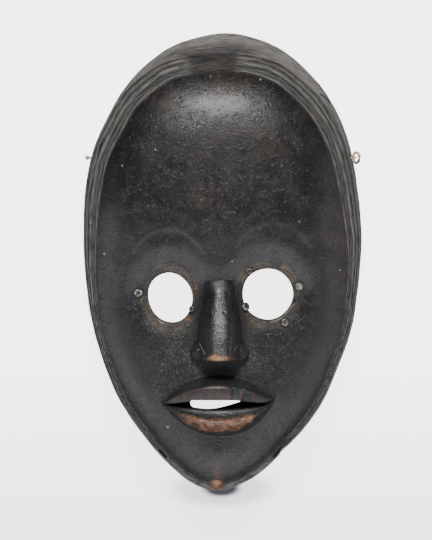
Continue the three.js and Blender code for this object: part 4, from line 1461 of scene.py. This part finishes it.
def patina_relief(shader, mask, wood, marks):
    relief = 0.45 * wood.pores + 1.0 * wood.fine + 0.9 * wood.grit - 0.7 * wood.pits - 0.9 * wood.dents
    normal = shader.bump(relief, 0.00022, 0.75)
    normal = shader.bump(wood.strokes * (mask.wall + 0.35 * mask.edge), 0.00045, 0.9, normal)
    normal = shader.bump(wood.streaks * mask.hollow, 0.0012, 0.5, normal)
    scraped = (0.6 * wood.fine + 0.8 * wood.scrapes) * mask.ring
    return shader.bump(scraped + 0.5 * wood.fine * mask.worn - 1.5 * marks.cracks, 0.0004, 0.7, normal)


def patina():
    """Black rubbed patina over brown wood, worn through on what stands out."""
    shader = Shader("rubbed_black_patina")
    mask = patina_masks(shader)
    wood = patina_grains(shader)
    marks = fine_marks(shader, mask, wood)
    colour = rubbed_front(shader, mask, wood, black_front(shader, wood))
    colour = worn_front(shader, mask, wood, colour)
    colour = wall_and_hollow(shader, mask, wood, colour)
    return shader.finish(
        Base_Color=marked_front(shader, mask, marks, colour),
        Roughness=patina_roughness(mask, wood, marks),
        Normal=patina_relief(shader, mask, wood, marks),
        Specular_IOR_Level=0.5,
        Coat_Weight=0.15 * (1 - mask.wall) * (1 - mask.hollow),
        Coat_Roughness=0.2,
    )


def iron():
    """Old iron: dark rust, rubbed bright in places."""
    shader = Shader("old_iron")
    rubbed, polish, _ = shader.masks("rubbed")
    rust = shader.noise(700.0, 5.0, 0.65)
    patches = shader.noise(260.0, 3.0, 0.6)
    dark = shader.blend(rust.spread(0.3, 0.7), (0.016, 0.014, 0.013), (0.07, 0.06, 0.052))
    dark = shader.blend(patches.spread(0.5, 0.66) * 0.6, dark, (0.075, 0.042, 0.025))
    bare = shader.blend(rust.spread(0.35, 0.65), (0.4, 0.39, 0.37), (0.9, 0.88, 0.84))
    shine = (rubbed * (0.3 + 1.1 * rust.spread(0.38, 0.62))).least(1.0)
    return shader.finish(
        Base_Color=shader.blend(shine, dark, bare),
        Metallic=0.3 + 0.1 * shine - 0.2 * polish,
        Roughness=0.55 - 0.2 * shine - 0.1 * polish,
        Normal=shader.bump(rust + 0.5 * patches, 0.0003, 0.7),
    )


def fibre():
    """Dry plant fibre, cream to brown, with painted shade on the lower half of the loop."""
    shader = Shader("dry_plant_fibre")
    strands = shader.noise(1.0, 4.0, 0.6, 0.3, shader.stretched((900.0, 5200.0, 5200.0)))
    stain = shader.noise(190.0, 3.0, 0.6)
    colour = shader.blend(strands.spread(0.3, 0.7), (0.42, 0.32, 0.2), (0.82, 0.72, 0.54))
    colour = shader.blend(stain.spread(0.5, 0.7) * 0.5, colour, (0.2, 0.12, 0.07))
    across, up, _ = shader.parts(shader.place)
    # Painted shade on the lower half of the loop.
    loop_shade = up.spread((CORD_LINE - 2.0) * MM, (CORD_LINE + 2.0) * MM, 1.0, 0.0)
    loop_shade = loop_shade * across.spread((RIGHT_WALL + 1.0) * MM, (RIGHT_WALL + 3.0) * MM)
    colour = shader.blend(loop_shade * 0.85, colour, (0.045, 0.03, 0.02))
    normal = shader.bump(strands, 0.0003, 0.7)
    return shader.finish(Base_Color=colour, Roughness=0.82 + 0.1 * strands, Normal=normal)


# The painted shadow on the floor under the chin: its middle in metres, then half width, half height and
# strength.
CHIN_PLACE = (-0.0006, -0.121)
CHIN_SHADOWS = ((0.034, 0.013, 0.45), (0.013, 0.0062, 1.0))


def studio_floor():
    """A pale floor that glows a little, less towards the bottom of the view and far out, with a painted
    soft shadow under the chin.
    """
    shader = Shader("pale_floor")
    soft = shader.noise(3.0, 2.0, 0.5)
    colour = shader.blend(soft, (0.8, 0.8, 0.815), (0.82, 0.82, 0.833))
    far = shader.measure("LENGTH", {0: shader.flat}).spread(0.3, 1.2)
    _, up, _ = shader.parts(shader.place)
    near = shader.blend(up.spread(-0.15, -0.02), (0.5, 0.495, 0.52), (0.8, 0.8, 0.815))
    glow = shader.blend(far, near, (0.25, 0.25, 0.255))
    # Painted shadow on the floor under the chin.
    for wide, high, share in CHIN_SHADOWS:
        offset = (-CHIN_PLACE[0] / wide, -CHIN_PLACE[1] / high, 0.0)
        from_chin = {0: shader.place, 1: (1 / wide, 1 / high, 0.0), 2: offset}
        reach = shader.measure("LENGTH", {0: shader.vector("MULTIPLY_ADD", from_chin)})
        shade = reach.spread(0.5, 1.0, share, 0.0)
        glow = shader.blend(shade, glow, (0.004, 0.004, 0.005))
        colour = shader.blend(shade, colour, (0.1, 0.1, 0.11))
    return shader.finish(
        Base_Color=colour,
        Roughness=0.9,
        Specular_IOR_Level=0.2,
        Emission_Color=glow,
        Emission_Strength=5.0,
    )


def sharp_smooth(mesh, degrees):
    """Smooth shading that breaks at edges sharper than an angle."""
    for polygon in mesh.polygons:
        polygon.use_smooth = True
    mesh.set_sharp_from_angle(angle=math.radians(degrees))


def finish_piece(piece, nodes, material):
    """Gives a piece its material, hangs it under the root body and hides the solids that it stands for."""
    piece.data.materials.clear()
    piece.data.materials.append(material)
    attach(piece, "root")
    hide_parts(*nodes)


# Camera and the cord's route come first. The photograph is 540 pixels high, at 0.535 mm a pixel.
FRAME_HEIGHT = 540 * 0.535 * MM
CAMERA_DISTANCE = 14.0
CAMERA_AIM = (-0.0035, -0.0044)
camera_data = bpy.data.cameras.new("camera")
camera_data.sensor_fit = "VERTICAL"
camera_data.sensor_height = 24.0
camera_data.lens = 24.0 * CAMERA_DISTANCE / FRAME_HEIGHT
camera_data.clip_end = 50.0
camera = linked_object("camera", camera_data)
camera.location = (*CAMERA_AIM, CAMERA_DISTANCE)
bpy.context.scene.camera = camera


def cord_route():
    """The free stretch of cord behind the mask, from the right hole to the left one, in metres."""
    left = LEFT_INNER + CLEARANCE
    right = RIGHT_INNER - CLEARANCE
    ground = CORD_DIAMETER / 2 + 0.15
    high = CORD_HOLE_HEIGHT
    stations = [
        (0.0, high, 0.0),
        (0.025, high, 0.0),
        (0.07, 0.82 * high, 0.03),
        (0.12, 0.5 * high, 0.09),
        (0.17, 0.2 * high, 0.18),
        (0.23, ground, 0.36),
        (0.36, ground, 0.82),
        (0.5, ground, 1.0),
        (0.64, ground, 0.73),
        (0.77, ground, 0.27),
        (0.83, 0.2 * high, 0.14),
        (0.88, 0.5 * high, 0.07),
        (0.93, 0.82 * high, 0.03),
        (0.975, high, 0.0),
        (1.0, high, 0.0),
    ]
    points = [
        ((left + share * (right - left)) * MM, (CORD_LINE - slack * CORD_SLACK) * MM, height * MM)
        for share, height, slack in stations
    ]
    return points[::-1]


def cord_tube(name, route, radius, closed=False):
    """A tube along a fine route, with the section and the turn of two twisted strands."""
    points = [Vector(p) for p in route]
    count = len(points)
    following = points[1:] + (points[:1] if closed else points[-1:])
    preceding = (points[-1:] if closed else points[:1]) + points[:-1]
    tangents = [(after - before).normalized() for after, before in zip(following, preceding)]
    verts = []
    side = tangents[0].orthogonal().normalized()
    travelled = 0.0
    for i, (point, tangent) in enumerate(zip(points, tangents)):
        side = (side - tangent * side.dot(tangent)).normalized()
        up = tangent.cross(side)
        if i:
            travelled += (point - points[i - 1]).length
        for k in range(CORD_SIDES):
            turn = 2 * math.pi * k / CORD_SIDES
            size = radius * (1 - STRAND_GROOVE * (0.5 - 0.5 * math.cos(2 * turn)))
            spin = turn + 2 * math.pi * travelled / CORD_LAY
            verts.append(point + (side * math.cos(spin) + up * math.sin(spin)) * size)
    faces = []
    for i in range(count if closed else count - 1):
        here, there = i * CORD_SIDES, (i + 1) % count * CORD_SIDES
        for k in range(CORD_SIDES):
            m = (k + 1) % CORD_SIDES
            faces.append((here + k, here + m, there + m, there + k))
    if not closed:
        faces.append(tuple(reversed(range(CORD_SIDES))))
        faces.append(tuple(range((count - 1) * CORD_SIDES, count * CORD_SIDES)))
    return mesh_object(name, verts, faces)


def fine_route(points, count):
    rows = through([np.array(p) for p in points], count)
    return [tuple(float(c) for c in row) for row in rows]


# How each nail has worn: how far its middle is sunk, how torn its rim is, how bright its rim and its
# middle are rubbed, and the side on which its head is lighter.
NAIL_WEAR = {
    "forehead_nail": (0.9, 0.1, 0.14, 0.06, 100.0),
    "eye_nail_left_outer": (1.0, 0.2, 1.0, 0.0, None),
    "eye_nail_left_inner": (0.3, 0.1, 0.15, 0.05, None),
    "eye_nail_right_outer": (0.15, 0.14, 0.35, 1.0, None),
    "eye_nail_right_inner": (0.5, 0.14, 0.9, 0.05, -135.0),
    "eye_nail_right_lower": (0.1, 0.06, 0.25, 0.14, None),
    "eye_nail_right_upper": (1.0, 0.12, 0.3, 0.0, None),
}


def lathe_nail(name, spot, eye, lean, head):
    """A hand-made nail: a beaten head on a shank, both a little uneven."""
    sunk, torn, rim, heart, side = NAIL_WEAR[name]
    point, normal, out = nail_axis(spot, eye, lean)
    half = head / 2
    gap = CLEARANCE + half * math.tan(out.angle(normal))
    shank = NAIL_SHANK_DIAMETER / 2
    profile = [
        (0.3 * shank, -NAIL_SHANK_LENGTH),
        (0.7 * shank, -0.88 * NAIL_SHANK_LENGTH),
        (shank, -0.7 * NAIL_SHANK_LENGTH),
        (shank, gap - 0.1),
        (0.9 * half, gap),
        (0.99 * half, gap + 0.2),
        (0.97 * half, gap + 0.45),
        (0.84 * half, gap + 0.8),
        (0.66 * half, gap + 1.0 - 0.1 * sunk),
        (0.5 * half, gap + 1.06 - 0.6 * sunk),
        (0.3 * half, gap + 1.08 - 0.75 * sunk),
        (0.1 * half, gap + 1.1 - 0.8 * sunk),
    ]
    sides = 28
    turn = Vector((0, 0, 1)).rotation_difference(out).to_matrix()
    seed = spot[0] * 40
    verts = []
    rubbed = []
    for radius, height in profile:
        for k in range(sides):
            angle = 2 * math.pi * k / sides
            across, up = math.cos(angle), math.sin(angle)
            uneven = float(grain(2.2 * across + seed, 2.2 * up, 0.4 * height))
            reach = radius * (1 - (0.05 + torn * (radius > 0.6 * half)) * 0.6 * (1 + uneven))
            facet = 0.42 * math.sin(1.5 * angle + seed) * (height > gap + 0.5) * (1 - sunk)
            verts.append((point + turn @ Vector((reach * across, reach * up, height - abs(facet)))) * MM)
            bright = heart + (rim - heart) * float(smooth(radius / half, 0.42, 0.66))
            if side is not None:
                bright *= float(smooth(math.cos(angle - math.radians(side)), 0.1, 0.7))
            rubbed.append(bright * (0.75 + 0.25 * uneven) * (height > gap))
    faces = [
        (j * sides + k, j * sides + (k + 1) % sides, (j + 1) * sides + (k + 1) % sides, (j + 1) * sides + k)
        for j in range(len(profile) - 1)
        for k in range(sides)
    ]
    faces.append(tuple(reversed(range(sides))))
    last = (len(profile) - 1) * sides
    faces.append(tuple(range(last, last + sides)))
    piece = mesh_object(name + "_worn", verts, faces)
    paint(piece.data, "rubbed", (np.array(rubbed), heart * np.array(rubbed), 0.0))
    sharp_smooth(piece.data, 50)
    return piece


route = fine_route(cord_route(), 39)
fibre_material = fibre()
cord_piece = cord_tube("back_cord", fine_route(route, 160), CORD_DIAMETER / 2 * MM)
sharp_smooth(cord_piece.data, 60)
finish_piece(cord_piece, ["hanging_cord"], fibre_material)


def cord_loop():
    """The loop outside the right wall."""
    reach = CORD_LOOP_DIAMETER / 2
    middle = RIGHT_WALL + 0.7 * CORD_DIAMETER + 0.6 * reach
    ring = []
    for k in range(40):
        turn = 2 * math.pi * k / 40
        x = middle + 0.6 * reach * math.cos(turn)
        y = CORD_LINE + reach * math.sin(turn)
        z = CORD_HOLE_HEIGHT + 0.35 * math.sin(2 * turn)
        ring.append((x * MM, y * MM, z * MM))
    return cord_tube("loop", ring, 0.62 * CORD_DIAMETER * MM, closed=True)


def cord_stem(inner, outer):
    """The stretch of cord through a hole in the wall."""
    line = [(inner + (outer - inner) * share, CORD_LINE, CORD_HOLE_HEIGHT) for share in (0, 0.33, 0.66, 1)]
    return cord_tube("stem", fine_route(np.array(line) * MM, 24), CORD_DIAMETER / 2 * MM)


def knot_lump(x, radius):
    """A small tied knot: a lumpy ball with the turns of the cord round it."""
    work = bmesh.new()
    bmesh.ops.create_uvsphere(work, u_segments=28, v_segments=18, radius=1.0)
    for vert in work.verts:
        p = vert.co.copy()
        turns = 0.1 * abs(math.sin(2.6 * p.z + 1.7 * math.atan2(p.y, p.x)))
        lumps = 0.08 * float(grain(p.x * 2 + 5, p.y * 2, p.z * 2))
        middle = Vector((x, CORD_LINE, CORD_HOLE_HEIGHT)) * MM
        vert.co = middle + p * radius * MM * (0.92 - turns + lumps)
    return placed_mesh("knot", work)


def one_piece(name, parts):
    """One mesh of several parts."""
    work = bmesh.new()
    for part in parts:
        work.from_mesh(part.data)
        old = part.data
        bpy.data.objects.remove(part)
        bpy.data.meshes.remove(old)
    piece = placed_mesh(name, work)
    sharp_smooth(piece.data, 60)
    return piece


def loose_fibres_tree():
    """Thin bent fibres that fan out of one place."""
    tree = bpy.data.node_groups.new("loose_fibres", "GeometryNodeTree")
    tree.interface.new_socket("Fibres", in_out="OUTPUT", socket_type="NodeSocketGeometry")
    for name, kind in (
        ("Count", "NodeSocketInt"),
        ("Seed", "NodeSocketInt"),
        ("Root", "NodeSocketVector"),
        ("Bend", "NodeSocketVector"),
        ("Tip", "NodeSocketVector"),
        ("Spread", "NodeSocketVector"),
        ("Thickness", "NodeSocketFloat"),
        ("Material", "NodeSocketMaterial"),
    ):
        tree.interface.new_socket(name, in_out="INPUT", socket_type=kind)
    given = tree.nodes.new("NodeGroupInput").outputs

    def add(kind, inputs, **settings):
        node = tree.nodes.new(kind)
        for key, value in settings.items():
            setattr(node, key, value)
        for key, value in inputs.items():
            if isinstance(value, bpy.types.NodeSocket):
                tree.links.new(value, node.inputs[key])
            else:
                node.inputs[key].default_value = value
        return node.outputs

    roots = add("GeometryNodePoints", {"Count": given["Count"], "Position": given["Root"]})["Points"]
    bent = {"Resolution": 7, "Start": (0.0, 0.0, 0.0), "Middle": given["Bend"], "End": given["Tip"]}
    line = add("GeometryNodeCurveQuadraticBezier", bent)["Curve"]
    circle = {"Resolution": 5, "Radius": given["Thickness"]}
    section = add("GeometryNodeCurvePrimitiveCircle", circle)["Curve"]
    swept = {"Curve": line, "Profile Curve": section, "Fill Caps": True}
    tube = add("GeometryNodeCurveToMesh", swept)["Mesh"]
    backwards = {0: given["Spread"], 1: (-1.0, -1.0, -1.0)}
    least = add("ShaderNodeVectorMath", backwards, operation="MULTIPLY")[0]
    turns = {0: least, 1: given["Spread"], "Seed": given["Seed"]}
    turn = add("FunctionNodeRandomValue", turns, data_type="FLOAT_VECTOR")[0]
    sizes = {2: 0.55, 3: 1.0, "Seed": given["Seed"]}
    size = add("FunctionNodeRandomValue", sizes, data_type="FLOAT")[1]
    copies = {"Points": roots, "Instance": tube, "Rotation": turn, "Scale": size}
    spread_out = add("GeometryNodeInstanceOnPoints", copies)["Instances"]
    whole = add("GeometryNodeRealizeInstances", {"Geometry": spread_out})["Geometry"]
    dressed = add("GeometryNodeSetMaterial", {"Geometry": whole, "Material": given["Material"]})["Geometry"]
    add("NodeGroupOutput", {0: dressed})
    return tree


def loose_fibres(root, tip, seed, count=9):
    """The fibres at a cut end of the cord, as one plain mesh."""
    piece = linked_object("loose_fibres", bpy.data.meshes.new("loose_fibres"))
    growth = piece.modifiers.new("fibres", "NODES")
    growth.node_group = loose_fibres_tree()
    values = {
        "Count": count,
        "Seed": seed,
        "Root": Vector(root) * MM,
        "Bend": Vector((0.5 * tip[0], 0.5 * tip[1] + 0.25, 0.5 * tip[2])) * MM,
        "Tip": Vector(tip) * MM,
        "Spread": Vector((0.4, 0.6, 0.7)),
        "Thickness": 0.055 * MM,
        "Material": fibre_material,
    }
    for item in growth.node_group.interface.items_tree:
        if item.in_out == "INPUT":
            growth[item.identifier] = values[item.name]
    hold_result(piece, "loose_fibres")
    return piece


right_parts = [
    cord_loop(),
    cord_stem(RIGHT_INNER, RIGHT_WALL + STEM_OUTSIDE),
    knot_lump(RIGHT_WALL + 1.2 * CORD_DIAMETER, 1.15),
    loose_fibres((RIGHT_WALL + 4.4, CORD_LINE + 1.2, CORD_HOLE_HEIGHT), (1.5, 0.15, 0.3), 3),
]
finish_piece(one_piece("right_cord_loop", right_parts), ["cord_loop_right"], fibre_material)

left_parts = [cord_stem(LEFT_INNER, LEFT_WALL - STEM_OUTSIDE), knot_lump(LEFT_WALL - 2.05, 1.4)]
finish_piece(one_piece("left_cord_knot", left_parts), ["cord_knot_left"], fibre_material)

mask_piece = shell_object()
cut_holes(mask_piece)
turn_faces_out(mask_piece.data)
paint_mask(mask_piece.data)
sharp_smooth(mask_piece.data, 42)
finish_piece(mask_piece, ["carved_mask"], patina())

nail_iron = iron()
for name, spot, eye, lean, head in NAILS:
    finish_piece(lathe_nail(name, spot, eye, lean, head), [name], nail_iron)

# Pale floor and soft light.
FLOOR_REACH = 3.0
FLOOR_LEVEL = -0.0004
corners = [(FLOOR_REACH * x, FLOOR_REACH * y, FLOOR_LEVEL) for x, y in ((-1, -1), (1, -1), (1, 1), (-1, 1))]
floor = mesh_object("floor", corners, [(0, 1, 2, 3)])
floor.data.materials.append(studio_floor())
floor.visible_glossy = False
floor.visible_diffuse = False


def softbox(name, place, target, size, power, tint=(1.0, 1.0, 1.0), shape="RECTANGLE"):
    """A soft area light at a place, turned to a target, in metres and watts."""
    data = bpy.data.lights.new(name, "AREA")
    data.shape = shape
    data.size, data.size_y = size
    data.energy = power
    data.color = tint
    lamp = linked_object(name, data)
    lamp.location = place
    lamp.rotation_euler = (Vector(target) - Vector(place)).to_track_quat("-Z", "Y").to_euler()


KEY_TINT = (1.0, 0.982, 0.96)
softbox("key_softbox", (-0.03, 0.86, 1.13), (0, 0.03, 0.04), (0.46, 0.4), 18.0, KEY_TINT, "ELLIPSE")
softbox("overhead_fill", (0.0, -1.6, 1.65), (0, -0.02, 0.03), (3.2, 1.6), 34.0, (0.94, 0.96, 1.0))
softbox("front_board", (0.0, -1.3, 0.28), (0, -0.05, 0.03), (2.6, 0.5), 7.0, (0.96, 0.96, 1.0))
softbox("left_board", (-1.35, -0.55, 0.42), (-0.05, 0, 0.03), (1.1, 0.8), 5.5)
softbox("right_board", (1.5, -0.5, 0.5), (0.05, 0, 0.03), (2.4, 1.0), 8.0)

world = bpy.data.worlds.new("studio")
world.use_nodes = True
background = world.node_tree.nodes["Background"]
background.inputs["Color"].default_value = (0.9, 0.92, 0.95, 1)
background.inputs["Strength"].default_value = 0.1
bpy.context.scene.world = world
